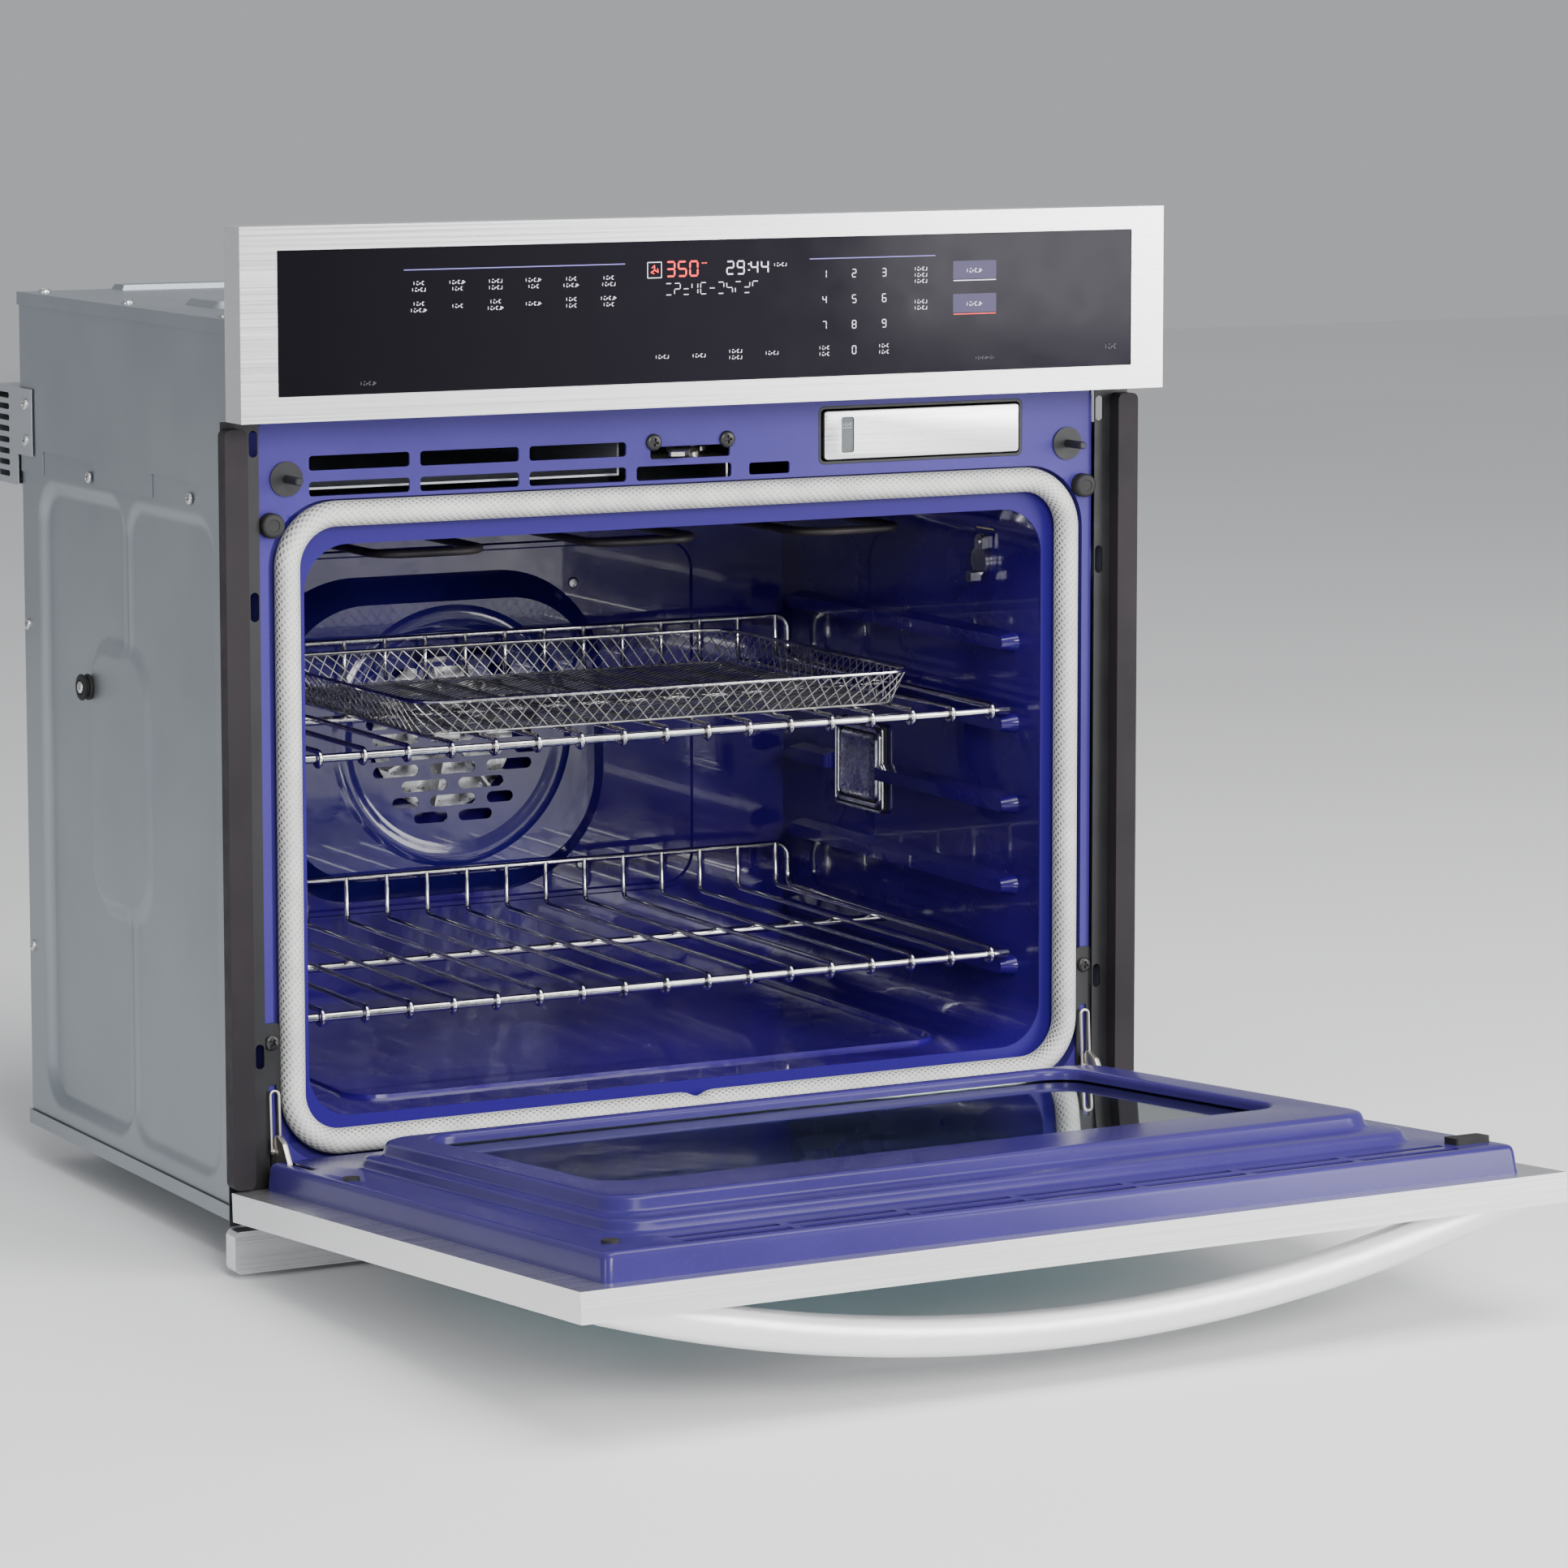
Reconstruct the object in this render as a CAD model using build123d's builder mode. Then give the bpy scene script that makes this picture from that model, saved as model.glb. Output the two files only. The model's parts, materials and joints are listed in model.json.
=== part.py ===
from build123d import *
from math import atan, cos, degrees, radians, sin, sqrt
import os

# Built-in wall oven, 30-inch class, drawn with its door open. Millimetres.
# Frame: X to the right, Y into the cabinet, Z up. The origin is at mid-width, in the
# plane of the cabinet face, at the height of the cut-out floor under the chassis.

# --- overall -----------------------------------------------------------------
OVEN_WIDTH = 755
CHASSIS_WIDTH = 714.2
CHASSIS_DEPTH = 447
CHASSIS_TOP = 653
SHEET = 1.0

# --- control panel -----------------------------------------------------------
PANEL_FRONT = -47
PANEL_DEPTH = 28
PANEL_BOTTOM = 584.5
PANEL_TOP = 722
PANEL_GLASS_WIDTH = 698.6
PANEL_GLASS_BOTTOM = 602.4
PANEL_GLASS_TOP = 705
PANEL_SKIN = 1.5
PANEL_GLASS_THICK = 4

# --- chassis panels ----------------------------------------------------------
BASE_FLANGE = 11
LIP = 10
APRON_LOW = 592
SIDE_PANEL_FACE = 354.8
UPPER_SIDE_FACE = 356
UPPER_SIDE_LOW = 514
UPPER_SIDE_NOTCH = 532
EMBOSS_DEPTH = 2.4
SIDE_WINDOWS = ((440, 461), (118, 136))
TOP_WINDOW = (557, 576)

# --- rear duct and motor cover -----------------------------------------------
DUCT_BACK = 500
DUCT_LOW = 503
DUCT_HIGH = 579
DUCT_FLANGE_FRONT = 416
DUCT_SLOTS = 8
DUCT_SLOT_PITCH = 8.7

# --- enamelled front frame ---------------------------------------------------
FRAME_FACE = 3
FRAME_HALF_WIDTH = 345
FRAME_LOW = 12
FRAME_HIGH = 581
FRAME_SKIN = 2
GROOVE_HALF_WIDTH = 337
GROOVE_LOW = 43
GROOVE_HIGH = 524.4
GROOVE_RADIUS = 48
GROOVE_FLOOR = 12
VENT_HEIGHT = 10.6
VENT_UPPER_Z = 550.7
VENT_LOWER_Z = 532.2
DECK_Z = 518.5
VENT_LENGTH = 78.5
VENT_PITCH = 86.9
VENT_FIRST_X = -265.8

# --- cavity ------------------------------------------------------------------
CAVITY_HALF_WIDTH = 306
CAVITY_LOW = 75
CAVITY_HIGH = 491
CAVITY_BACK = 430
CAVITY_SKIN = 1.5
CAVITY_RADIUS = 34
RAIL_LEVELS = 5
RAIL_FIRST_TOP = 138.4
RAIL_PITCH = 190 / 3
RAIL_REACH = 14
RAIL_HEIGHT = 16
RAIL_FRONT = 44
RAIL_BACK = 402
INSULATION = 24

# --- gasket ------------------------------------------------------------------
GASKET_RADIUS = 9.3
GASKET_HALF_WIDTH = 322.8
GASKET_LOW = 59
GASKET_HIGH = 514
GASKET_CORNER = 38
GASKET_Y = 3

# --- fan, lamp, probe --------------------------------------------------------
FAN_X = -8
FAN_Z = 289
FAN_COVER_FRONT = 406
FAN_GRILLE_RADIUS = 78
FAN_RING_RADIUS = 99
FAN_COVER_SCREWS = ((-150, 404), (112, 404), (118, 172), (-158, 172))
FAN_BLADES = 7
FAN_BLADE_RADIUS = 62
SHAFT_RADIUS = 4
HEATER_RADIUS = 3.2
SHAFT_CLEARANCE = 0.05
LAMP_Y = 292
LAMP_Z = 259
LAMP_SIZE = 72
PROBE_Y = 95
PROBE_Z = 443

# --- racks and basket --------------------------------------------------------
RACK_LOWER_Z = 142
RACK_SPACING = 190
RACK_FRONT = 47
RACK_MIDDLE = 238
RACK_BACK = 400
RACK_HALF_WIDTH = 298
RACK_SIDE_X = 294
RACK_WIRE_PITCH = 35.2
RACK_WIRES = 17
RACK_BAR_RADIUS = 3.25
RACK_WIRE_RADIUS = 2
RACK_RAIL_RISE = 39
BASKET_X = 16
BASKET_WIDTH = 424
BASKET_FRONT = 60
BASKET_DEPTH = 322
BASKET_HEIGHT = 27
BASKET_TAPER = 20
BASKET_WALL = 1.6

# --- cooling blower ----------------------------------------------------------
BLOWER_Y = 265
BLOWER_Z = 598
BLOWER_RADIUS = 40
BLOWER_SPAN = (-308, -52)
BLOWER_BLADES = 24

# --- latch, plungers, bumpers, drawer ----------------------------------------
PLUNGER_X = 323
PLUNGER_Z = 540.3
PLUNGER_REACH = 25
BUMPER_X = 336
BUMPER_Z = 508
LATCH_Z = 547
DRAWER_X = 195.4
DRAWER_Z = 554.4
DRAWER_FACE_WIDTH = 167.9
DRAWER_FACE_HEIGHT = 36.3
DRAWER_SLEEVE_WIDTH = 175.7
DRAWER_SLEEVE_HEIGHT = 43.2
DRAWER_LENGTH = 150

# --- trims -------------------------------------------------------------------
CHANNEL_SKIN = 1.2
TRIM_INNER = 359
TRIM_OUTER = 376.4
TRIM_FACE = -14
TRIM_LOW = 34
TRIM_HIGH = 578.2
MOUNT_HOLE_X = 365
MOUNT_HOLE_Z = (77, 404)
MOUNT_HOLE_RADIUS = 2.4
BOTTOM_TRIM_HIGH = 5
BOTTOM_TRIM_LOW = -26
BOTTOM_TRIM_FACE = -17

# --- door --------------------------------------------------------------------
DOOR_OPEN_LIFT = 4.52
DOOR_LENGTH = 565.5
DOOR_SHELL_DEPTH = 20.85
DOOR_SKIN = 1.5
DOOR_PLANE_Y = -12.94
DOOR_PLANE_Z = 32.97
DOOR_BASE_HALF_WIDTH = 352
DOOR_BASE_NEAR = 1
DOOR_BASE_FAR = 548
DOOR_BASE_RISE = 19.5
STEP_ONE_HALF_WIDTH = 311
STEP_ONE_NEAR = 58
STEP_ONE_FAR = 488
STEP_ONE_RISE = 27.7
STEP_TWO_HALF_WIDTH = 298
STEP_TWO_NEAR = 69
STEP_TWO_FAR = 456
STEP_TWO_RISE = 38.5
INNER_SKIN = 1.2
WINDOW_HALF_WIDTH = 267
WINDOW_NEAR = 84
WINDOW_FAR = 384
OUTER_WINDOW_HALF_WIDTH = 300
OUTER_WINDOW_NEAR = 75
OUTER_WINDOW_FAR = 450
PIVOT_NEAR = 17.1
PIVOT_DROP = 3.65
HINGE_X = 339
HINGE_ARM_THICK = 4
HINGE_PIN_RADIUS = 4
DOOR_SLOTS = 7
DOOR_SLOT_PITCH = 86.4
DOOR_SLOT_LENGTH = 80
DOOR_SLOT_CENTRE_X = 10
HANDLE_NEAR = 541
HANDLE_BOW = 66.5
HANDLE_END_DROP = 13.5
HANDLE_HALF_SPAN = 352
HANDLE_WIDTH = 24
HANDLE_THICK = 27

os.makedirs("parts", exist_ok=True)


def save(piece, name):
    """Labels a finished piece and writes it as its own STEP file."""
    piece.part.label = name
    export_step(piece.part, f"parts/{name}.step")


def facing_front(y):
    """A plane that faces the room at depth y, with local x = X and local y = Z."""
    return Plane(origin=(0, y, 0), x_dir=(1, 0, 0), z_dir=(0, -1, 0))


def facing_right(x):
    """A plane that faces +X at x, with local x = Y and local y = Z."""
    return Plane(origin=(x, 0, 0), x_dir=(0, 1, 0), z_dir=(1, 0, 0))


def outward(side, face, y, z):
    """A plane on a side wall, facing out to the left or to the right."""
    return Plane(origin=(side * face, y, z), x_dir=(0, side, 0), z_dir=(side, 0, 0))


LIFT = radians(DOOR_OPEN_LIFT)


def on_door(height=0):
    """The open door's own plane: local x = X, local -y runs from its hinge edge to its
    handle edge, and height is above the back of its steel shell."""
    base = Plane(
        origin=(0, DOOR_PLANE_Y, DOOR_PLANE_Z), x_dir=(1, 0, 0), z_dir=(0, sin(LIFT), cos(LIFT))
    )
    return base.offset(height)


def door_point(x, along, height):
    """A point of the open door in the oven's frame."""
    return (
        x,
        DOOR_PLANE_Y - along * cos(LIFT) + height * sin(LIFT),
        DOOR_PLANE_Z + along * sin(LIFT) + height * cos(LIFT),
    )


def span(low, high):
    """The middle and the length between two limits."""
    return (low + high) / 2, high - low


def hand(side):
    return "right" if side > 0 else "left"


# --- chassis -----------------------------------------------------------------
def base_pan():
    half_depth = CHASSIS_DEPTH / 2
    with BuildPart() as pan:
        with BuildSketch(Plane.XY):
            with Locations((0, half_depth)):
                Rectangle(CHASSIS_WIDTH, CHASSIS_DEPTH)
        extrude(amount=BASE_FLANGE)
        with BuildSketch(Plane.XY.offset(SHEET)):
            with Locations((0, half_depth)):
                Rectangle(CHASSIS_WIDTH - 2 * SHEET, CHASSIS_DEPTH - 2 * SHEET)
        extrude(amount=BASE_FLANGE, mode=Mode.SUBTRACT)
        with BuildSketch(Plane.XY):
            with GridLocations(560, 300, 2, 2):
                Circle(6)
            with Locations((0, half_depth)):
                with GridLocations(60, 0, 6, 1):
                    SlotOverall(40, 8, rotation=90)
        extrude(amount=SHEET, mode=Mode.SUBTRACT)
    save(pan, "base_pan")


def side_panels():
    """Lower side panels, each with its pressed field and the boss that carries the roller."""
    emboss_y, emboss_length = span(60, 408)
    emboss_z, emboss_height = span(24, 509)
    capsule_y, capsule_width = span(193, 317)
    capsule_z, capsule_height = span(190, 398)
    with BuildPart() as panel:
        with BuildSketch(facing_right(SIDE_PANEL_FACE - SHEET)):
            with Locations(span_box((1.2, 445.8), (SHEET + 0.1, 534))):
                Rectangle(444.6, 533.9 - SHEET)
        extrude(amount=SHEET)
        for grow, start, mode in ((0, -SHEET, Mode.ADD), (-SHEET, 0, Mode.SUBTRACT)):
            with BuildSketch(facing_right(SIDE_PANEL_FACE + start)):
                with Locations((emboss_y, emboss_z)):
                    RectangleRounded(emboss_length + 2 * grow, emboss_height + 2 * grow, 34 + grow)
                with Locations((capsule_y, capsule_z)):
                    RectangleRounded(
                        capsule_width - 12 - 2 * grow,
                        capsule_height - 12 - 2 * grow,
                        36 - grow,
                        mode=Mode.SUBTRACT,
                    )
            extrude(amount=-EMBOSS_DEPTH, taper=40, mode=mode)
        with BuildSketch(facing_right(SIDE_PANEL_FACE)):
            for low, high in SIDE_WINDOWS:
                with Locations((12, (low + high) / 2)):
                    Rectangle(20, high - low + 6)
        extrude(amount=-3 * SHEET, mode=Mode.SUBTRACT)
        mirror(about=Plane.YZ)
    save(panel, "side_panels")


def span_box(across, up):
    """The middle of a rectangle given by its limits."""
    return (sum(across) / 2, sum(up) / 2)


def upper_sides():
    """Upper side panels whose tabs hang over the lower panels."""
    top = CHASSIS_TOP - SHEET - 0.2
    with BuildPart() as panels:
        with BuildSketch(facing_right(UPPER_SIDE_FACE - SHEET)):
            with BuildLine():
                Polyline(
                    (2, top),
                    (445, top),
                    (445, UPPER_SIDE_LOW),
                    (399, UPPER_SIDE_LOW),
                    (399, UPPER_SIDE_NOTCH),
                    (290, UPPER_SIDE_NOTCH),
                    (290, UPPER_SIDE_LOW),
                    (176, UPPER_SIDE_LOW),
                    (176, UPPER_SIDE_NOTCH),
                    (57, UPPER_SIDE_NOTCH),
                    (57, UPPER_SIDE_LOW),
                    (2, UPPER_SIDE_LOW),
                    close=True,
                )
            make_face()
            with Locations((307, 528), (108, 528)):
                Rectangle(7, 5, mode=Mode.SUBTRACT)
            with Locations((12, sum(TOP_WINDOW) / 2)):
                Rectangle(16, 24, mode=Mode.SUBTRACT)
        extrude(amount=SHEET)
        mirror(about=Plane.YZ)
    save(panels, "upper_sides")


def top_cover():
    half_depth = CHASSIS_DEPTH / 2
    with BuildPart() as cover:
        with BuildSketch(Plane.XY.offset(CHASSIS_TOP - LIP)):
            with Locations((0, half_depth)):
                Rectangle(CHASSIS_WIDTH, CHASSIS_DEPTH)
        extrude(amount=LIP)
        with BuildSketch(Plane.XY.offset(CHASSIS_TOP - LIP)):
            with Locations((0, half_depth - SHEET)):
                Rectangle(CHASSIS_WIDTH - 2 * SHEET, CHASSIS_DEPTH)
        extrude(amount=LIP - SHEET, mode=Mode.SUBTRACT)
        with BuildSketch(facing_front(SHEET)):
            with Locations((0, APRON_LOW / 2 + CHASSIS_TOP / 2 - SHEET / 2)):
                Rectangle(CHASSIS_WIDTH - 2 * SHEET, CHASSIS_TOP - APRON_LOW - SHEET)
            with Locations((0, 625)):
                with GridLocations(60, 0, 9, 1):
                    SlotOverall(46, 24, mode=Mode.SUBTRACT)
        extrude(amount=SHEET)
        with BuildSketch(Plane.XY.offset(CHASSIS_TOP)):
            with Locations((-303, 189), (303, 189)):
                SlotOverall(64, 20, rotation=90)
        extrude(amount=5, taper=45)
        with BuildSketch(Plane.XY.offset(CHASSIS_TOP)):
            with Locations((0, 432)):
                Rectangle(560, 24)
        extrude(amount=4, taper=30)
        with BuildSketch(Plane.XY.offset(CHASSIS_TOP - SHEET)):
            with Locations((0, 330)):
                with GridLocations(14, 0, 20, 1):
                    SlotOverall(70, 5, rotation=90)
        extrude(amount=SHEET, mode=Mode.SUBTRACT)
    save(cover, "top_cover")


def component_deck():
    """Shelf over the insulation that carries the blower, the latch, the tank and the boards."""
    with BuildPart() as deck:
        with BuildSketch(Plane.XY.offset(DECK_Z)):
            with Locations((0, 231)):
                Rectangle(2 * SIDE_PANEL_FACE - 4, 426)
            with Locations((300, 360), (-300, 400)):
                with GridLocations(0, 12, 1, 5):
                    SlotOverall(50, 5, mode=Mode.SUBTRACT)
        extrude(amount=SHEET)
        with BuildSketch(Plane.XY.offset(DECK_Z + SHEET)):
            with Locations((0, 442)):
                Rectangle(2 * SIDE_PANEL_FACE - 8, 2)
        extrude(amount=14)
    save(deck, "component_deck")


def back_panel():
    top = CHASSIS_TOP - SHEET - 0.2
    with BuildPart() as panel:
        with BuildSketch(facing_front(CHASSIS_DEPTH - SHEET)):
            with Locations((0, (top + SHEET) / 2)):
                Rectangle(2 * (SIDE_PANEL_FACE - SHEET) - 0.6, top - SHEET)
            with Locations((FAN_X, FAN_Z)):
                Circle(30, mode=Mode.SUBTRACT)
            with Locations((0, 541)):
                with GridLocations(44, 30, 10, 2):
                    SlotOverall(34, 8, mode=Mode.SUBTRACT)
        extrude(amount=SHEET)
        with BuildSketch(facing_front(CHASSIS_DEPTH - SHEET)):
            with Locations((-250, 270), (250, 270)):
                RectangleRounded(120, 380, 30)
        extrude(amount=-4, taper=40)
        with BuildSketch(facing_front(CHASSIS_DEPTH - 2 * SHEET)):
            with Locations((-250, 270), (250, 270)):
                RectangleRounded(120 - 2 * SHEET, 380 - 2 * SHEET, 30 - SHEET)
        extrude(amount=-4, taper=40, mode=Mode.SUBTRACT)
    save(panel, "back_panel")


def rear_duct():
    """Channel across the back that keeps the air gap, with slotted ends."""
    outer = CHASSIS_WIDTH / 2 + 0.2
    middle_z, height = span(DUCT_LOW, DUCT_HIGH)
    with BuildPart() as duct:
        with BuildSketch(facing_front(CHASSIS_DEPTH)):
            with Locations((0, middle_z)):
                Rectangle(2 * (outer + SHEET), height)
                Rectangle(2 * outer, height - 2 * SHEET, mode=Mode.SUBTRACT)
        extrude(amount=-(DUCT_BACK - CHASSIS_DEPTH))
        with BuildSketch(facing_front(DUCT_BACK - SHEET)):
            with Locations((0, middle_z)):
                Rectangle(2 * (outer + SHEET), height)
        extrude(amount=-SHEET)
        with BuildSketch(facing_right(outer)):
            with Locations(span_box((DUCT_FLANGE_FRONT, CHASSIS_DEPTH), (527, DUCT_HIGH))):
                Rectangle(CHASSIS_DEPTH - DUCT_FLANGE_FRONT, DUCT_HIGH - 527)
        extrude(amount=SHEET)
        mirror(about=Plane.YZ)
        with BuildSketch(facing_right(-outer - 2 * SHEET)):
            with Locations((476, middle_z)):
                with GridLocations(0, DUCT_SLOT_PITCH, 1, DUCT_SLOTS):
                    SlotOverall(24, 4.6)
        extrude(amount=2 * outer + 4 * SHEET, mode=Mode.SUBTRACT)
    save(duct, "rear_duct")


def motor_cover():
    with BuildPart() as cover:
        with BuildSketch(facing_front(CHASSIS_DEPTH)):
            with Locations((FAN_X, FAN_Z)):
                RectangleRounded(190, 170, 24)
        extrude(amount=-50)
        with BuildSketch(facing_front(CHASSIS_DEPTH)):
            with Locations((FAN_X, FAN_Z)):
                RectangleRounded(188, 168, 23)
        extrude(amount=-49, mode=Mode.SUBTRACT)
        with BuildSketch(facing_front(CHASSIS_DEPTH + 52)):
            with Locations((FAN_X, FAN_Z)):
                with GridLocations(24, 14, 5, 5):
                    SlotOverall(18, 5)
        extrude(amount=4, mode=Mode.SUBTRACT)
    save(cover, "motor_cover")


def terminal_box():
    """Wiring box at the back, with the gland that the supply conduit enters by."""
    with BuildPart() as box:
        with BuildSketch(facing_front(CHASSIS_DEPTH)):
            with Locations((235, 620)):
                Rectangle(90, 52)
        extrude(amount=-30)
        with BuildSketch(facing_front(CHASSIS_DEPTH)):
            with Locations((235, 620)):
                Rectangle(90 - 2 * SHEET, 52 - 2 * SHEET)
        extrude(amount=-30 + SHEET, mode=Mode.SUBTRACT)
        with BuildSketch(Plane.XY.offset(646)):
            with Locations((235, CHASSIS_DEPTH + 15)):
                Circle(13)
        extrude(amount=9)
        with BuildSketch(Plane.XY.offset(644)):
            with Locations((235, CHASSIS_DEPTH + 15)):
                Circle(9)
        extrude(amount=12, mode=Mode.SUBTRACT)
    save(box, "terminal_box")


# --- front frame and cavity --------------------------------------------------
def groove_outline(mode=Mode.ADD, grow=0):
    middle, height = span(GROOVE_LOW, GROOVE_HIGH)
    with Locations((0, middle)):
        RectangleRounded(
            2 * (GROOVE_HALF_WIDTH + grow), height + 2 * grow, GROOVE_RADIUS + grow, mode=mode
        )


def mouth_outline(mode=Mode.SUBTRACT, grow=0):
    middle, height = span(CAVITY_LOW, CAVITY_HIGH)
    with Locations((0, middle)):
        RectangleRounded(
            2 * (CAVITY_HALF_WIDTH + grow), height + 2 * grow, CAVITY_RADIUS + grow, mode=mode
        )


def vent_slots():
    """Air outlets above the door: two rows of three, one more below, and the latch light slot."""
    for z, count in ((VENT_UPPER_Z, 3), (VENT_LOWER_Z, 4)):
        places = [(VENT_FIRST_X + n * VENT_PITCH, z) for n in range(count)]
        with Locations(*places):
            RectangleRounded(VENT_LENGTH, VENT_HEIGHT, 2.5, mode=Mode.SUBTRACT)
    with Locations((66, VENT_LOWER_Z)):
        RectangleRounded(34, 9, 2, mode=Mode.SUBTRACT)


def front_frame():
    """Enamelled frame around the cavity mouth, with a groove for the gasket."""
    middle, height = span(FRAME_LOW, FRAME_HIGH)
    with BuildPart() as frame:
        with BuildSketch(facing_front(FRAME_FACE + FRAME_SKIN)):
            with Locations((0, middle)):
                RectangleRounded(2 * FRAME_HALF_WIDTH, height, 6)
            groove_outline(Mode.SUBTRACT)
            vent_slots()
            with Locations((0, LATCH_Z)):
                RectangleRounded(66, 9, 2, mode=Mode.SUBTRACT)
            with Locations((DRAWER_X, DRAWER_Z)):
                RectangleRounded(
                    DRAWER_SLEEVE_WIDTH + 0.4, DRAWER_SLEEVE_HEIGHT + 0.4, 5, mode=Mode.SUBTRACT
                )
            with Locations((-HINGE_X, 42), (HINGE_X, 42)):
                Rectangle(HINGE_ARM_THICK + 1, 44, mode=Mode.SUBTRACT)
            with Locations((-PLUNGER_X, PLUNGER_Z), (PLUNGER_X, PLUNGER_Z)):
                Circle(4, mode=Mode.SUBTRACT)
        extrude(amount=FRAME_SKIN)
        with BuildSketch(facing_front(GROOVE_FLOOR + FRAME_SKIN)):
            groove_outline(grow=FRAME_SKIN)
            groove_outline(Mode.SUBTRACT)
        extrude(amount=GROOVE_FLOOR + FRAME_SKIN - FRAME_FACE)
        with BuildSketch(facing_front(GROOVE_FLOOR + FRAME_SKIN)):
            groove_outline()
            mouth_outline()
        extrude(amount=FRAME_SKIN)
        with BuildSketch(facing_front(FRAME_FACE + 14)):
            for x in (-FRAME_HALF_WIDTH + 1, FRAME_HALF_WIDTH - 1):
                with Locations((x, middle)):
                    Rectangle(2, height - 14)
        extrude(amount=14 - FRAME_SKIN)
    save(frame, "front_frame")


def rack_rail(side, top):
    """A pressed ledge on a cavity wall, with rounded ends, that carries the racks."""
    length = RAIL_BACK - RAIL_FRONT
    wall = side * (CAVITY_HALF_WIDTH + 0.5)
    plane = facing_right(wall) if side < 0 else Plane(
        origin=(wall, 0, 0), x_dir=(0, -1, 0), z_dir=(-1, 0, 0)
    )
    along = (RAIL_FRONT + RAIL_BACK) / 2
    with BuildSketch(plane) as ledge:
        with Locations((along if side < 0 else -along, top - RAIL_HEIGHT / 2)):
            SlotOverall(length, RAIL_HEIGHT)
    extrude(ledge.sketch, amount=RAIL_REACH, taper=12)


def cavity_liner():
    depth = CAVITY_BACK - GROOVE_FLOOR - FRAME_SKIN
    start = GROOVE_FLOOR + FRAME_SKIN
    with BuildPart() as liner:
        with BuildSketch(facing_front(start)):
            mouth_outline(Mode.ADD, CAVITY_SKIN)
        extrude(amount=-(depth + CAVITY_SKIN))
        with BuildSketch(facing_front(start)):
            mouth_outline(Mode.ADD)
        extrude(amount=-depth, mode=Mode.SUBTRACT)
        with BuildSketch(facing_front(CAVITY_BACK + CAVITY_SKIN)):
            with Locations((FAN_X, FAN_Z)):
                Circle(12)
        extrude(amount=2 * CAVITY_SKIN, mode=Mode.SUBTRACT)
        with BuildSketch(facing_front(CAVITY_BACK)):
            with Locations((0, 293)):
                RectangleRounded(450, 294, 30)
                RectangleRounded(438, 282, 24, mode=Mode.SUBTRACT)
        extrude(amount=2.5, taper=30)
        with BuildSketch(Plane.XY.offset(CAVITY_LOW)):
            with Locations((0, 222)):
                RectangleRounded(500, 330, 30)
                RectangleRounded(488, 318, 24, mode=Mode.SUBTRACT)
        extrude(amount=2.5, taper=30)
        for level in range(RAIL_LEVELS):
            for side in (-1, 1):
                rack_rail(side, RAIL_FIRST_TOP + level * RAIL_PITCH)
        with BuildSketch(facing_right(CAVITY_HALF_WIDTH)):
            with Locations((LAMP_Y, LAMP_Z)):
                Rectangle(LAMP_SIZE + 14, LAMP_SIZE + 4)
            with Locations((PROBE_Y, PROBE_Z + 6)):
                Rectangle(30, 40)
        extrude(amount=-RAIL_REACH - 2, mode=Mode.SUBTRACT)
        with BuildSketch(facing_right(CAVITY_HALF_WIDTH - 1)):
            with Locations((LAMP_Y, LAMP_Z)):
                Rectangle(LAMP_SIZE - 12, LAMP_SIZE - 12)
            with Locations((PROBE_Y, PROBE_Z)):
                Circle(8)
        extrude(amount=4, mode=Mode.SUBTRACT)
    save(liner, "cavity_liner")


def insulation():
    """Mineral wool blanket around the cavity walls."""
    inner = CAVITY_SKIN + 0.4
    with BuildPart() as wool:
        with BuildSketch(facing_front(40)):
            mouth_outline(Mode.ADD, INSULATION)
            mouth_outline(Mode.SUBTRACT, inner)
        extrude(amount=-(CAVITY_BACK - 42))
        with BuildSketch(facing_right(CAVITY_HALF_WIDTH)):
            with Locations((LAMP_Y, LAMP_Z)):
                Rectangle(LAMP_SIZE, LAMP_SIZE)
            with Locations((PROBE_Y, PROBE_Z)):
                Circle(12)
        extrude(amount=INSULATION + 6, mode=Mode.SUBTRACT)
        with BuildSketch(Plane.XY.offset(CAVITY_LOW - 20)):
            with Locations((0, 230)):
                Rectangle(470, 376)
        extrude(amount=20, mode=Mode.SUBTRACT)
    save(wool, "insulation")


def gasket():
    """Braided tube in the groove round the cavity mouth, flat where it is seated."""
    with BuildPart() as seal:
        with BuildLine(facing_front(GASKET_Y)) as route:
            FilletPolyline(
                (0, GASKET_HIGH),
                (GASKET_HALF_WIDTH, GASKET_HIGH),
                (GASKET_HALF_WIDTH, GASKET_LOW),
                (0, GASKET_LOW),
                radius=GASKET_CORNER,
            )
        with BuildSketch(Plane(origin=route.line @ 0, z_dir=route.line % 0)):
            Circle(GASKET_RADIUS)
        sweep(path=route.line)
        mirror(about=Plane.YZ)
        with BuildSketch(facing_front(GROOVE_FLOOR)):
            with Locations((0, (GASKET_LOW + GASKET_HIGH) / 2)):
                Rectangle(2 * GROOVE_HALF_WIDTH, GROOVE_HIGH - GROOVE_LOW)
        extrude(amount=-6, mode=Mode.SUBTRACT)
    save(seal, "door_gasket")


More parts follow.
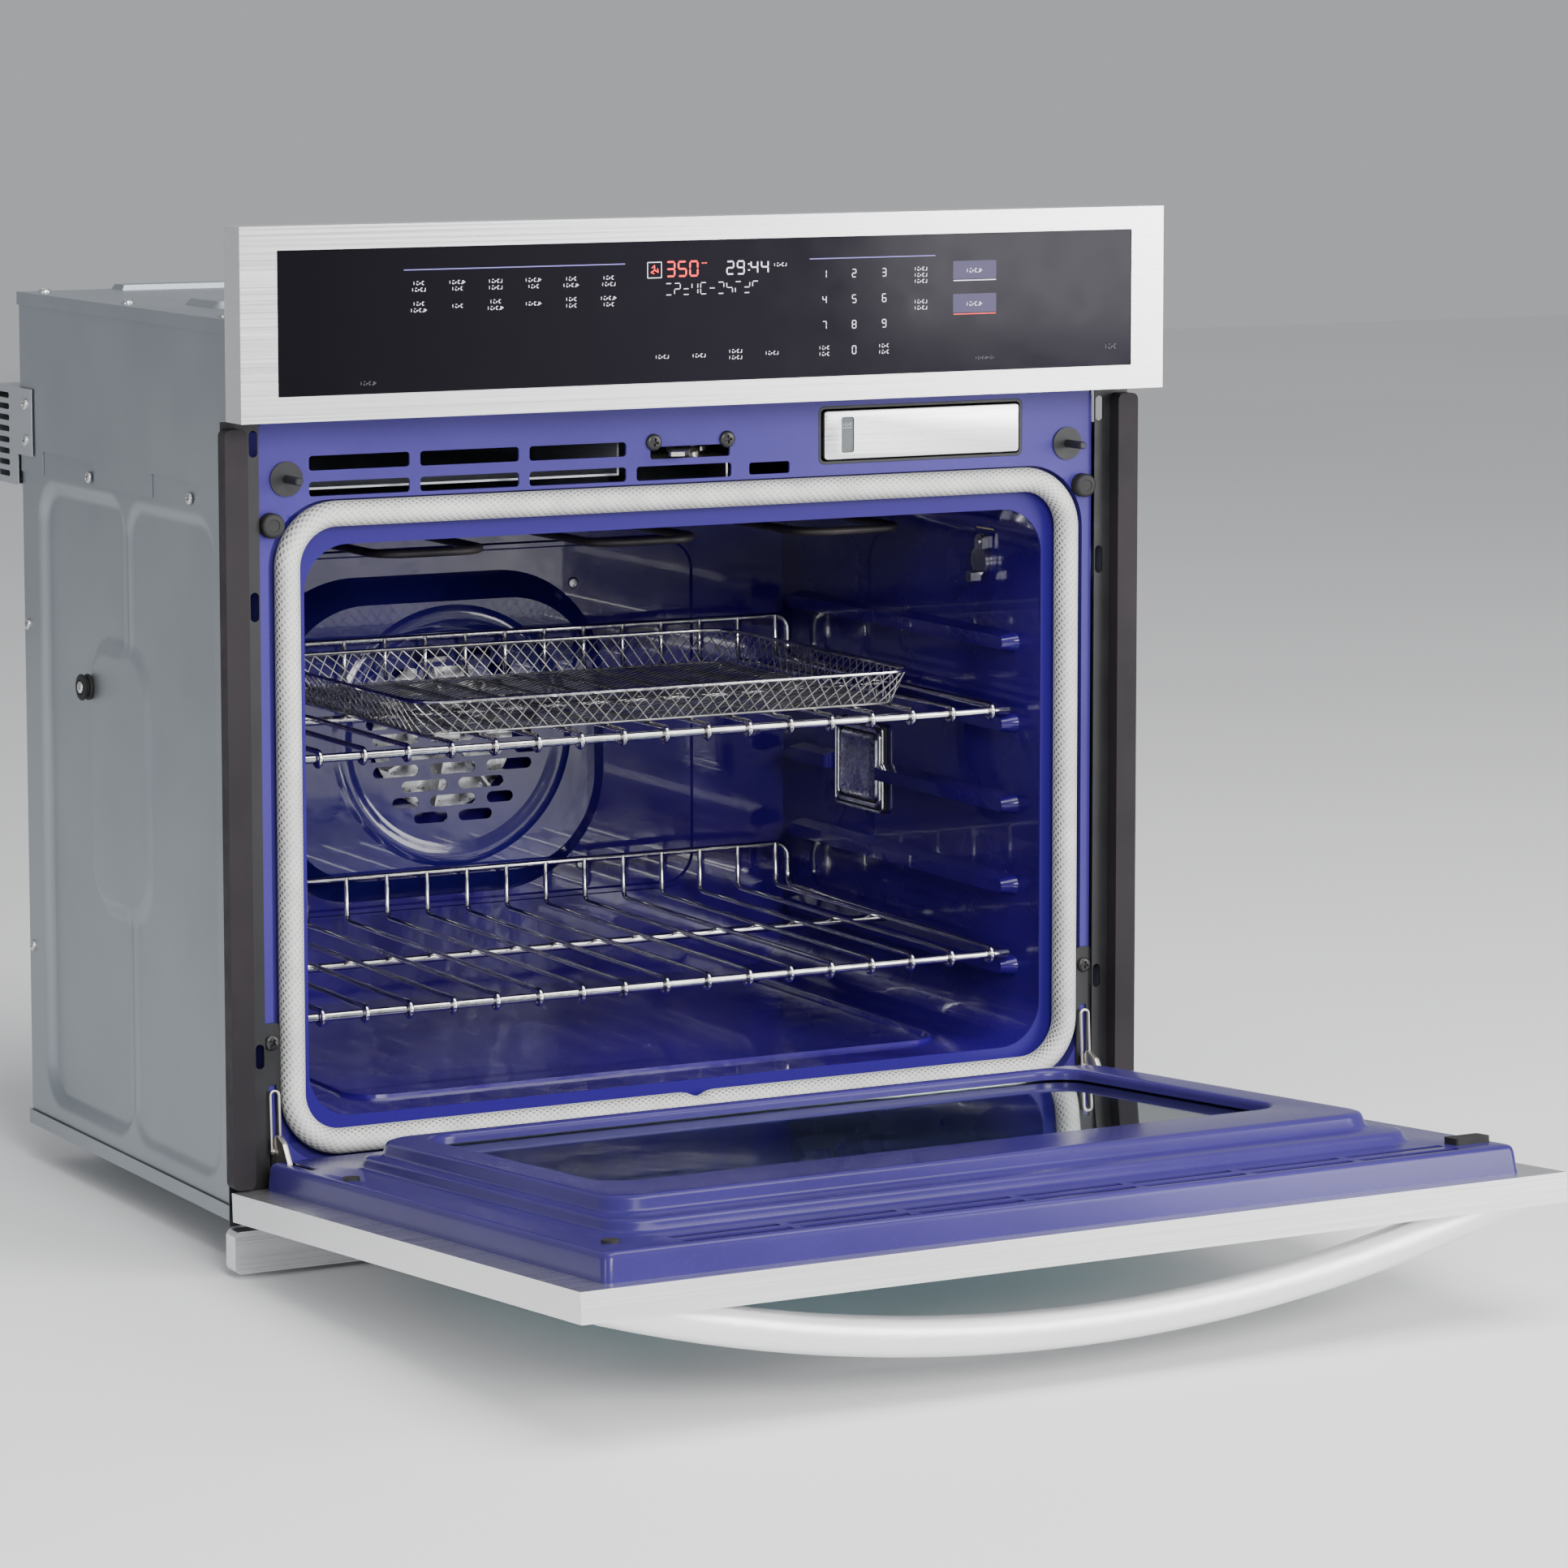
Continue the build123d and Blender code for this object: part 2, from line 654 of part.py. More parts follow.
# --- fans, elements, lamp, probe --------------------------------------------
def fan_cover():
    """Domed cover on the back wall with a round grille in front of the fan."""
    rise = CAVITY_BACK - FAN_COVER_FRONT
    with BuildPart() as cover:
        with BuildSketch(facing_front(CAVITY_BACK)):
            with Locations((FAN_X - 12, FAN_Z - 2)):
                RectangleRounded(318, 262, 96)
        extrude(amount=rise, taper=40)
        with BuildSketch(facing_front(CAVITY_BACK)):
            with Locations((FAN_X - 12, FAN_Z - 2)):
                RectangleRounded(314, 258, 94)
        extrude(amount=rise - 1.2, taper=40, mode=Mode.SUBTRACT)
        with BuildSketch(facing_front(FAN_COVER_FRONT)):
            with Locations((FAN_X, FAN_Z)):
                Circle(FAN_RING_RADIUS)
                Circle(FAN_RING_RADIUS - 4, mode=Mode.SUBTRACT)
        extrude(amount=2, taper=30)
        with BuildSketch(facing_front(FAN_COVER_FRONT + 4)):
            for row in range(-5, 6):
                reach = sqrt(FAN_GRILLE_RADIUS**2 - (abs(row) * 13 + 5) ** 2)
                shift = 25 if row % 2 else 0
                for column in range(-2, 3):
                    x = column * 50 + shift
                    low, high = max(x - 20, -reach), min(x + 20, reach)
                    if high - low > 14:
                        with Locations((FAN_X + (low + high) / 2, FAN_Z + row * 13)):
                            SlotOverall(high - low, 9)
        extrude(amount=8, mode=Mode.SUBTRACT)
    save(cover, "fan_cover")


def convection_fan():
    with BuildPart() as fan:
        with BuildSketch(facing_front(426)):
            with Locations((FAN_X, FAN_Z)):
                Circle(FAN_BLADE_RADIUS)
        extrude(amount=1.2)
        with BuildSketch(facing_front(424.8)):
            with Locations((FAN_X, FAN_Z)):
                with PolarLocations(38, FAN_BLADES):
                    Rectangle(44, 2)
        extrude(amount=14)
        with BuildSketch(facing_front(424.8)):
            with Locations((FAN_X, FAN_Z)):
                Circle(11)
        extrude(amount=10)
        with BuildSketch(facing_front(478)):
            with Locations((FAN_X, FAN_Z)):
                Circle(SHAFT_RADIUS)
        extrude(amount=54)
    save(fan, "convection_fan")


def fan_motor():
    with BuildPart() as motor:
        with BuildSketch(facing_front(449)):
            with Locations((FAN_X, FAN_Z)):
                Circle(38)
        extrude(amount=-32)
        with BuildSketch(facing_front(449)):
            with Locations((FAN_X, FAN_Z)):
                RectangleRounded(120, 30, 6)
        extrude(amount=-3)
        with BuildSketch(facing_front(440)):
            with Locations((FAN_X, FAN_Z)):
                Circle(SHAFT_RADIUS + SHAFT_CLEARANCE)
        extrude(amount=-44, mode=Mode.SUBTRACT)
    save(motor, "fan_motor")


def flat_heater(z, spans, front, back, exit_y):
    """A sheathed heater bent to and fro in one level plane, for the part being built."""
    points = []
    for n in range(spans):
        x = -220 + n * 440 / (spans - 1)
        near, far = (back, front) if n % 2 == 0 else (front, back)
        points += [(x, near, z), (x, far, z)]
    points[0] = (points[0][0], exit_y, z)
    points[-1] = (points[-1][0], exit_y, z)
    with BuildLine() as line:
        FilletPolyline(*points, radius=24)
    with BuildSketch(Plane(origin=line.line @ 0, z_dir=line.line % 0)) as section:
        Circle(HEATER_RADIUS)
    sweep(section.sketch, path=line.line)


def heating_elements():
    """Broil heater under the ceiling, hidden bake heater under the floor, ring at the fan."""
    ring_plane = facing_front(418)
    with BuildPart() as heaters:
        flat_heater(CAVITY_HIGH - 16, 6, 70, 380, CAVITY_BACK - 0.2)
        flat_heater(CAVITY_LOW - CAVITY_SKIN - 4, 6, 70, 380, CAVITY_BACK - 20)
        with BuildLine(ring_plane) as line:
            CenterArc((FAN_X, FAN_Z), 84, -80, 340)
        with BuildSketch(Plane(origin=line.line @ 0, z_dir=line.line % 0)):
            Circle(HEATER_RADIUS)
        sweep(path=line.line)
    save(heaters, "heating_elements")


def lamp():
    """Square halogen lamp in the right wall: housing, bulb and glass cover."""
    wall = CAVITY_HALF_WIDTH
    with BuildPart() as housing:
        with BuildSketch(facing_right(wall - 4)):
            with Locations((LAMP_Y, LAMP_Z)):
                RectangleRounded(LAMP_SIZE + 8, LAMP_SIZE, 4)
                RectangleRounded(LAMP_SIZE - 10, LAMP_SIZE - 18, 3, mode=Mode.SUBTRACT)
        extrude(amount=3.8)
        with BuildSketch(facing_right(wall - 0.4)):
            with Locations((LAMP_Y, LAMP_Z)):
                Rectangle(LAMP_SIZE - 13, LAMP_SIZE - 13)
                Rectangle(LAMP_SIZE - 16, LAMP_SIZE - 16, mode=Mode.SUBTRACT)
        extrude(amount=26)
        with BuildSketch(facing_right(wall + 24)):
            with Locations((LAMP_Y, LAMP_Z)):
                Rectangle(LAMP_SIZE - 13, LAMP_SIZE - 13)
        extrude(amount=1.6)
        with BuildSketch(facing_right(wall + 24)):
            with Locations((LAMP_Y, LAMP_Z)):
                Circle(6)
        extrude(amount=-18)
    save(housing, "lamp_housing")
    with BuildPart() as lens:
        with BuildSketch(facing_right(wall - 3.4)):
            with Locations((LAMP_Y, LAMP_Z)):
                RectangleRounded(LAMP_SIZE - 10.4, LAMP_SIZE - 18.4, 3)
        extrude(amount=3)
    save(lens, "lamp_lens")


def probe():
    """Meat probe socket in the right wall and the cap that swings off it."""
    wall = CAVITY_HALF_WIDTH
    with BuildPart() as socket:
        with BuildSketch(facing_right(wall - 3)):
            with Locations((PROBE_Y, PROBE_Z)):
                Circle(11)
        extrude(amount=2.8)
        with BuildSketch(facing_right(wall - 3)):
            with Locations((PROBE_Y, PROBE_Z)):
                Circle(7.6)
        extrude(amount=22)
        with BuildSketch(facing_right(wall - 4)):
            with Locations((PROBE_Y, PROBE_Z)):
                Circle(3.2)
        extrude(amount=20, mode=Mode.SUBTRACT)
        with BuildSketch(facing_right(wall - 8)):
            with Locations((PROBE_Y, PROBE_Z + 15)):
                Circle(2)
        extrude(amount=7.8)
        with BuildSketch(facing_right(wall - 3)):
            with Locations((PROBE_Y, PROBE_Z + 13)):
                Rectangle(8, 12)
        extrude(amount=2.8)
    save(socket, "probe_socket")
    with BuildPart() as cap:
        with BuildSketch(facing_right(wall - 7)):
            with Locations((PROBE_Y, PROBE_Z)):
                Circle(11.5)
            with Locations((PROBE_Y, PROBE_Z + 11)):
                Rectangle(12, 14)
            with Locations((PROBE_Y, PROBE_Z + 15)):
                Circle(6)
                Circle(2.05, mode=Mode.SUBTRACT)
        extrude(amount=3)
        with BuildSketch(facing_right(wall - 7)):
            with Locations((PROBE_Y, PROBE_Z - 12)):
                RectangleRounded(8, 9, 2)
        extrude(amount=-9)
    save(cap, "probe_cap")


def temperature_sensor():
    with BuildPart() as sensor:
        with BuildSketch(facing_front(CAVITY_BACK - 0.2)):
            with Locations((225, 455)):
                RectangleRounded(34, 18, 4)
        extrude(amount=1.2)
        with BuildSketch(facing_front(CAVITY_BACK - 1)):
            with Locations((225, 455)):
                Circle(2.4)
        extrude(amount=60)
        fillet(sensor.faces().sort_by(Axis.Y)[0].edges(), 1.6)
    save(sensor, "temperature_sensor")


# --- cooling air, controls ---------------------------------------------------
def cooling_blower():
    """Double-inlet blower that draws air over the controls and sends it out above the door."""
    axis_y, axis_z, radius = BLOWER_Y, BLOWER_Z, BLOWER_RADIUS
    left, right = BLOWER_SPAN
    width = right - left
    deck = DECK_Z + SHEET + 0.1
    with BuildPart() as housing:
        with BuildSketch(facing_right(left)):
            with Locations((axis_y, axis_z)):
                Circle(radius + 10)
            with Locations(span_box((17, axis_y + 42), (530.5, 562))):
                Rectangle(axis_y + 25, 31.5)
            with Locations((axis_y - 4, 575)):
                Rectangle(92, 56)
            with Locations((axis_y + 20, (deck + 540) / 2)):
                Rectangle(20, 540 - deck)
        extrude(amount=width)
        with BuildSketch(facing_right(left + 1.5)):
            with Locations((axis_y, axis_z)):
                Circle(radius + 8.5)
            with Locations(span_box((10, axis_y + 40.5), (532, 560.5))):
                Rectangle(axis_y + 30.5, 28.5)
            with Locations((axis_y - 4, 574)):
                Rectangle(89, 50)
        extrude(amount=width - 3, mode=Mode.SUBTRACT)
        with BuildSketch(facing_right(left - 2)):
            with Locations((axis_y, axis_z)):
                Circle(radius - 10)
        extrude(amount=width + 4, mode=Mode.SUBTRACT)
    save(housing, "blower_housing")
    with BuildPart() as wheel:
        for x in (left + 10, right - 12):
            with BuildSketch(facing_right(x)):
                with Locations((axis_y, axis_z)):
                    Circle(radius)
                    Circle(radius - 12, mode=Mode.SUBTRACT)
            extrude(amount=2)
        with BuildSketch(facing_right((left + right) / 2 - 1)):
            with Locations((axis_y, axis_z)):
                Circle(radius)
        extrude(amount=2)
        with BuildSketch(facing_right(left + 11)):
            with Locations((axis_y, axis_z)):
                with PolarLocations(radius - 6, BLOWER_BLADES):
                    Rectangle(10, 1.4, rotation=40)
        extrude(amount=width - 22)
        with BuildSketch(facing_right((left + right) / 2)):
            with Locations((axis_y, axis_z)):
                Circle(SHAFT_RADIUS)
        extrude(amount=width / 2 + 32)
    save(wheel, "blower_wheel")
    with BuildPart() as motor:
        with BuildSketch(facing_right(right + 0.2)):
            with Locations((axis_y, axis_z)):
                Circle(radius + 3)
                Circle(radius - 12, mode=Mode.SUBTRACT)
        extrude(amount=2)
        with BuildSketch(facing_right(right + 1)):
            with Locations((axis_y, axis_z)):
                with PolarLocations(radius - 7, 3):
                    Circle(3.5)
        extrude(amount=22)
        with BuildSketch(facing_right(right + 22)):
            with Locations((axis_y, axis_z)):
                Circle(radius - 2)
        extrude(amount=40)
        with BuildSketch(facing_right(right - 2)):
            with Locations((axis_y, axis_z)):
                Circle(SHAFT_RADIUS + SHAFT_CLEARANCE)
        extrude(amount=50, mode=Mode.SUBTRACT)
    save(motor, "blower_motor")


def control_panel():
    middle, height = span(PANEL_BOTTOM, PANEL_TOP)
    glass_middle, glass_height = span(PANEL_GLASS_BOTTOM, PANEL_GLASS_TOP)
    back = PANEL_FRONT + PANEL_DEPTH
    with BuildPart() as frame:
        with BuildSketch(facing_front(back)):
            with Locations((0, middle)):
                Rectangle(OVEN_WIDTH, height)
        extrude(amount=PANEL_DEPTH)
        with BuildSketch(facing_front(back)):
            with Locations((0, middle)):
                Rectangle(OVEN_WIDTH - 2 * PANEL_SKIN, height - 2 * PANEL_SKIN)
        extrude(amount=PANEL_DEPTH - PANEL_SKIN, mode=Mode.SUBTRACT)
        with BuildSketch(facing_front(PANEL_FRONT + 4)):
            with Locations((0, glass_middle)):
                Rectangle(PANEL_GLASS_WIDTH, glass_height)
        extrude(amount=8, mode=Mode.SUBTRACT)
    save(frame, "panel_frame")
    with BuildPart() as glass:
        with BuildSketch(facing_front(PANEL_FRONT + 0.8 + PANEL_GLASS_THICK)):
            with Locations((0, glass_middle)):
                Rectangle(PANEL_GLASS_WIDTH - 0.6, glass_height - 0.6)
        extrude(amount=PANEL_GLASS_THICK)
    save(glass, "panel_glass")
    with BuildPart() as carrier:
        with BuildSketch(facing_front(back - 0.2)):
            with Locations((0, middle)):
                Rectangle(OVEN_WIDTH - 2 * PANEL_SKIN - 0.6, height - 2 * PANEL_SKIN - 0.6)
        extrude(amount=1.4)
        with BuildSketch(facing_front(back - 1.6)):
            with Locations((0, glass_middle)):
                Rectangle(PANEL_GLASS_WIDTH + 20, glass_height + 12)
                Rectangle(PANEL_GLASS_WIDTH - 12, glass_height - 12, mode=Mode.SUBTRACT)
        extrude(amount=18)
        with BuildSketch(facing_front(back - 0.4)):
            with Locations((-300, 610), (300, 610), (0, 610)):
                Rectangle(50, 30)
        extrude(amount=back + 0.6)
    save(carrier, "panel_carrier")
    with BuildPart() as board:
        with BuildSketch(facing_front(-34)):
            with Locations((0, glass_middle)):
                Rectangle(520, 84)
        extrude(amount=1.6)
        with BuildSketch(facing_front(-35.6)):
            with Locations((-5, glass_middle + 22)):
                Rectangle(112, 34)
        extrude(amount=5)
        with BuildSketch(facing_front(-34)):
            with Locations((-180, glass_middle), (60, glass_middle), (190, glass_middle)):
                Rectangle(36, 24)
        extrude(amount=-9)
        with BuildSketch(Plane.XY.offset(588)):
            with Locations((215, 300)):
                Rectangle(220, 150)
        extrude(amount=1.6)
        with BuildSketch(Plane.XY.offset(589.6)):
            with Locations((160, 270), (250, 340)):
                Rectangle(40, 34)
        extrude(amount=26)
        with BuildSketch(Plane.XY.offset(DECK_Z + SHEET + 0.1)):
            with Locations((215, 300)):
                with GridLocations(200, 130, 2, 2):
                    Circle(4)
        extrude(amount=588 - DECK_Z - SHEET)
    save(board, "control_boards")


def latch():
    """Motor-driven hook that locks the door, and the bracket it turns on."""
    pivot = (18, 34)
    with BuildPart() as hook:
        with BuildSketch(Plane.XY.offset(LATCH_Z - 1.5)):
            with BuildLine():
                Polyline(
                    (-4, 34), (-14, 8), (-20, -9), (-24, -9), (-24, -13), (-14, -15),
                    (-6, -6), (2, 8), (18, 22), (30, 34), close=True,
                )
            make_face()
            with Locations(pivot):
                Circle(12)
                Circle(3.05, mode=Mode.SUBTRACT)
        extrude(amount=3)
    save(hook, "latch_hook")
    with BuildPart() as bracket:
        with BuildSketch(Plane.XY.offset(LATCH_Z - 7)):
            with Locations((0, 30)):
                Rectangle(84, 48)
        extrude(amount=1.5)
        for x in (-42, 40.5):
            with BuildSketch(facing_right(x)):
                with Locations(span_box((24, 54), (DECK_Z + SHEET + 0.1, LATCH_Z - 6))):
                    Rectangle(30, LATCH_Z - 6.1 - DECK_Z - SHEET)
            extrude(amount=1.5)
        with BuildSketch(Plane.XY.offset(LATCH_Z - 5.5)):
            with Locations(pivot):
                Circle(7)
        extrude(amount=3.6)
        with BuildSketch(Plane.XY.offset(LATCH_Z - 2)):
            with Locations(pivot):
                Circle(3)
        extrude(amount=6)
    save(bracket, "latch_bracket")


def plungers():
    """Door switches: a round flange on the frame and a sprung pin that the door pushes in."""
    for side in (-1, 1):
        with BuildPart() as pin:
            with BuildSketch(facing_front(30)):
                with Locations((side * PLUNGER_X, PLUNGER_Z)):
                    Circle(3)
            extrude(amount=30 - FRAME_FACE + PLUNGER_REACH)
            chamfer(pin.faces().sort_by(Axis.Y)[0].edges(), 0.8)
        save(pin, f"door_switch_pin_{hand(side)}")
    with BuildPart() as flanges:
        with BuildSketch(facing_front(FRAME_FACE)):
            with Locations((-PLUNGER_X, PLUNGER_Z), (PLUNGER_X, PLUNGER_Z)):
                Circle(12.5)
                Circle(3.05, mode=Mode.SUBTRACT)
        extrude(amount=1.6)
        with BuildSketch(facing_front(FRAME_FACE + 20)):
            with Locations((-PLUNGER_X, PLUNGER_Z), (PLUNGER_X, PLUNGER_Z)):
                Circle(3.9)
                Circle(3.05, mode=Mode.SUBTRACT)
        extrude(amount=20)
    save(flanges, "door_switch_flanges")


def bumpers():
    with BuildPart() as pads:
        with BuildSketch(facing_front(FRAME_FACE)):
            with Locations((-BUMPER_X, BUMPER_Z), (BUMPER_X, BUMPER_Z)):
                Circle(9)
        extrude(amount=9)
        fillet(pads.faces().group_by(Axis.Y)[0].edges(), 2.5)
        for side in (-1, 1):
            with BuildSketch(outward(side, SIDE_PANEL_FACE + 0.05, 309, 360)):
                Circle(10)
            extrude(amount=8)
            with BuildSketch(outward(side, SIDE_PANEL_FACE + 3.05, 309, 360)):
                Circle(10)
                Circle(7.5, mode=Mode.SUBTRACT)
            extrude(amount=2, mode=Mode.SUBTRACT)
    save(pads, "rubber_bumpers")


def steam_drawer():
    """Water tank that pulls out to be filled, and the sleeve it slides in."""
    with BuildPart() as drawer:
        with BuildSketch(facing_front(FRAME_FACE + 1)):
            with Locations((DRAWER_X, DRAWER_Z)):
                RectangleRounded(DRAWER_FACE_WIDTH, DRAWER_FACE_HEIGHT, 3)
        extrude(amount=3)
        with BuildSketch(facing_front(FRAME_FACE + 1)):
            with Locations((DRAWER_X, DRAWER_Z - 1)):
                RectangleRounded(DRAWER_FACE_WIDTH - 1.4, DRAWER_FACE_HEIGHT - 6, 3)
        extrude(amount=-DRAWER_LENGTH)
        with BuildSketch(Plane.XY.offset(DRAWER_Z + 20)):
            with Locations((DRAWER_X, FRAME_FACE + 3 + DRAWER_LENGTH / 2)):
                RectangleRounded(DRAWER_FACE_WIDTH - 13, DRAWER_LENGTH - 9, 5)
        extrude(amount=-33, mode=Mode.SUBTRACT)
        with BuildSketch(facing_front(FRAME_FACE - 1)):
            with Locations((131.2, DRAWER_Z)):
                RectangleRounded(10.4, 26, 2)
        extrude(amount=3, mode=Mode.SUBTRACT)
    save(drawer, "steam_drawer")
    with BuildPart() as sleeve:
        with BuildSketch(facing_front(FRAME_FACE + DRAWER_LENGTH + 12)):
            with Locations((DRAWER_X, DRAWER_Z)):
                RectangleRounded(DRAWER_SLEEVE_WIDTH, DRAWER_SLEEVE_HEIGHT, 5)
        extrude(amount=DRAWER_LENGTH + 12)
        with BuildSketch(facing_front(FRAME_FACE + DRAWER_LENGTH + 10)):
            with Locations((DRAWER_X, DRAWER_Z)):
                RectangleRounded(DRAWER_SLEEVE_WIDTH - 4, DRAWER_SLEEVE_HEIGHT - 4, 3.4)
        extrude(amount=DRAWER_LENGTH + 12, mode=Mode.SUBTRACT)
        for x in (DRAWER_X - 70, DRAWER_X + 70):
            with BuildSketch(Plane.XY.offset(DRAWER_Z - DRAWER_SLEEVE_HEIGHT / 2 + 1)):
                with Locations((x, 84)):
                    Rectangle(10, 150)
            extrude(amount=4.2)
            with BuildSketch(Plane.XY.offset(DECK_Z + SHEET + 0.1)):
                with Locations((x, 84)):
                    Rectangle(10, 120)
            extrude(amount=DRAWER_Z - DRAWER_SLEEVE_HEIGHT / 2 - DECK_Z - SHEET + 0.9)
    save(sleeve, "steam_drawer_sleeve")


# --- trims -------------------------------------------------------------------
def side_trims():
    """Painted upright trims beside the door, with returns to the cabinet face."""
    middle, height = span(TRIM_LOW, TRIM_HIGH)
    centre, width = span(TRIM_INNER, TRIM_OUTER)
    back = -1.4
    with BuildPart() as trim:
        with BuildSketch(facing_front(back)):
            with Locations((centre, middle)):
                RectangleRounded(width, height, 5)
        extrude(amount=back - TRIM_FACE)
        with BuildSketch(facing_front(back)):
            with Locations((centre, middle)):
                RectangleRounded(width - 2.4, height - 2.4, 3.8)
        extrude(amount=back - TRIM_FACE - 1.2, mode=Mode.SUBTRACT)
        mirror(about=Plane.YZ)
    save(trim, "side_trims")


def side_channels():
    """Black mounting channels: plates on the cabinet face, legs along the chassis."""
    middle, height = span(6, 583)
    centre, width = span(FRAME_HALF_WIDTH + 0.5, TRIM_OUTER - 2)
    leg_face = CHASSIS_WIDTH / 2 + 0.2
    with BuildPart() as channels:
        with BuildSketch(facing_front(0)):
            with Locations((centre, middle)):
                Rectangle(width, height)
            for z in MOUNT_HOLE_Z:
                with Locations((MOUNT_HOLE_X, z)):
                    Circle(MOUNT_HOLE_RADIUS, mode=Mode.SUBTRACT)
            for low, high in SIDE_WINDOWS + (TOP_WINDOW,):
                with Locations((349.6, (low + high) / 2)):
                    SlotOverall(high - low, 6.6, rotation=90, mode=Mode.SUBTRACT)
        extrude(amount=CHANNEL_SKIN)
        with BuildSketch(facing_right(leg_face)):
            with Locations((15, 268)):
                Rectangle(30, 524)
            for low, high in SIDE_WINDOWS:
                with Locations((15, (low + high) / 2)):
                    Rectangle(20, high - low + 6, mode=Mode.SUBTRACT)
        extrude(amount=CHANNEL_SKIN)
        mirror(about=Plane.YZ)
    save(channels, "side_channels")


def bottom_trim():
    middle, height = span(BOTTOM_TRIM_LOW, BOTTOM_TRIM_HIGH)
    with BuildPart() as trim:
        with BuildSketch(facing_front(-0.2)):
            with Locations((0, middle)):
                RectangleRounded(OVEN_WIDTH - 1, height, 5)
        extrude(amount=-BOTTOM_TRIM_FACE - 0.2)
        with BuildSketch(facing_front(-0.2)):
            with Locations((0, middle)):
                RectangleRounded(OVEN_WIDTH - 4, height - 3, 3.5)
        extrude(amount=-BOTTOM_TRIM_FACE - 1.7, mode=Mode.SUBTRACT)
        with BuildSketch(facing_front(-0.2)):
            with Locations((0, BOTTOM_TRIM_HIGH)):
                Rectangle(OVEN_WIDTH - 40, 6)
        extrude(amount=12, mode=Mode.SUBTRACT)
    save(trim, "bottom_trim")
    with BuildPart() as bracket:
        with BuildSketch(facing_right(-350)):
            with BuildLine():
                Polyline(
                    (-0.4, 5.7), (-1.6, 5.7), (-1.6, 3), (-14, 3), (-14, -20), (-12.8, -20),
                    (-12.8, 1.8), (-1.6, 1.8), (-1.6, -22), (-0.4, -22), close=True,
                )
            make_face()
        extrude(amount=700)
        with BuildSketch(Plane.XY.offset(6)):
            with Locations((0, -8)):
                with GridLocations(50, 0, 13, 1):
                    SlotOverall(22, 6)
        extrude(amount=-6, mode=Mode.SUBTRACT)
    save(bracket, "bottom_bracket")


# --- racks and basket --------------------------------------------------------
def rod(start, end, radius):
    """A straight round rod between two points, for the part being built."""
    axis = Vector(*end) - Vector(*start)
    with BuildSketch(Plane(origin=start, z_dir=axis)) as section:
        Circle(radius)
    extrude(section.sketch, amount=axis.length)


def wire_places():
    return [(n - (RACK_WIRES - 1) / 2) * RACK_WIRE_PITCH for n in range(RACK_WIRES)]


def rack(name, level):
    """Flat wire grid: three cross bars under the wires, and a rod along each side."""
    wire_z = level + RACK_BAR_RADIUS + RACK_WIRE_RADIUS - 0.3
    with BuildPart() as grid:
        for y in (RACK_FRONT, RACK_MIDDLE, RACK_BACK):
            rod((-RACK_HALF_WIDTH, y, level), (RACK_HALF_WIDTH, y, level), RACK_BAR_RADIUS)
        for x in wire_places():
            rod((x, RACK_FRONT - 0.5, wire_z), (x, RACK_BACK + 2, wire_z), RACK_WIRE_RADIUS)
        for x in (-RACK_SIDE_X, RACK_SIDE_X):
            rod((x, RACK_FRONT, level), (x, RACK_BACK, level), 2.6)
    save(grid, name)


def rack_backstop(name, level):
    """Backstop of a rack: a bent rod with an upright on the end of each wire."""
    foot = level + RACK_BAR_RADIUS + 2 * RACK_WIRE_RADIUS - 0.27
    rail_z = level + RACK_RAIL_RISE
    with BuildPart() as rail:
        for x in wire_places():
            rod((x, RACK_BACK, foot), (x, RACK_BACK, rail_z), RACK_WIRE_RADIUS)
        with BuildLine() as frame:
            FilletPolyline(
                (-RACK_SIDE_X, RACK_BACK, level + RACK_BAR_RADIUS + 0.03),
                (-RACK_SIDE_X, RACK_BACK, rail_z),
                (RACK_SIDE_X, RACK_BACK, rail_z),
                (RACK_SIDE_X, RACK_BACK, level + RACK_BAR_RADIUS + 0.03),
                radius=9,
            )
        with BuildSketch(Plane(origin=frame.line @ 0, z_dir=frame.line % 0)):
            Circle(2.6)
        sweep(path=frame.line)
    save(rail, name)


def basket():
    """Shallow wire-mesh frying basket with sloping sides and a rolled rim."""
    bottom = RACK_LOWER_Z + RACK_SPACING + RACK_BAR_RADIUS + 2 * RACK_WIRE_RADIUS
    centre = (BASKET_X, BASKET_FRONT + BASKET_DEPTH / 2)
    slope = degrees(atan(BASKET_TAPER / 2 / BASKET_HEIGHT))
    with BuildPart() as tray:
        with BuildSketch(Plane.XY.offset(bottom)):
            with Locations(centre):
                RectangleRounded(BASKET_WIDTH - BASKET_TAPER, BASKET_DEPTH - BASKET_TAPER, 24)
        extrude(amount=BASKET_HEIGHT, taper=-slope)
        with BuildSketch(Plane.XY.offset(bottom + BASKET_WALL)):
            with Locations(centre):
                RectangleRounded(
                    BASKET_WIDTH - BASKET_TAPER - 2 * BASKET_WALL,
                    BASKET_DEPTH - BASKET_TAPER - 2 * BASKET_WALL,
                    24 - BASKET_WALL,
                )
        extrude(amount=BASKET_HEIGHT, taper=-slope, mode=Mode.SUBTRACT)
    save(tray, "mesh_basket")


# --- door --------------------------------------------------------------------
def along(near, far):
    """The middle and the length of a stretch of the door, in its plane's local y."""
    return -(near + far) / 2, far - near


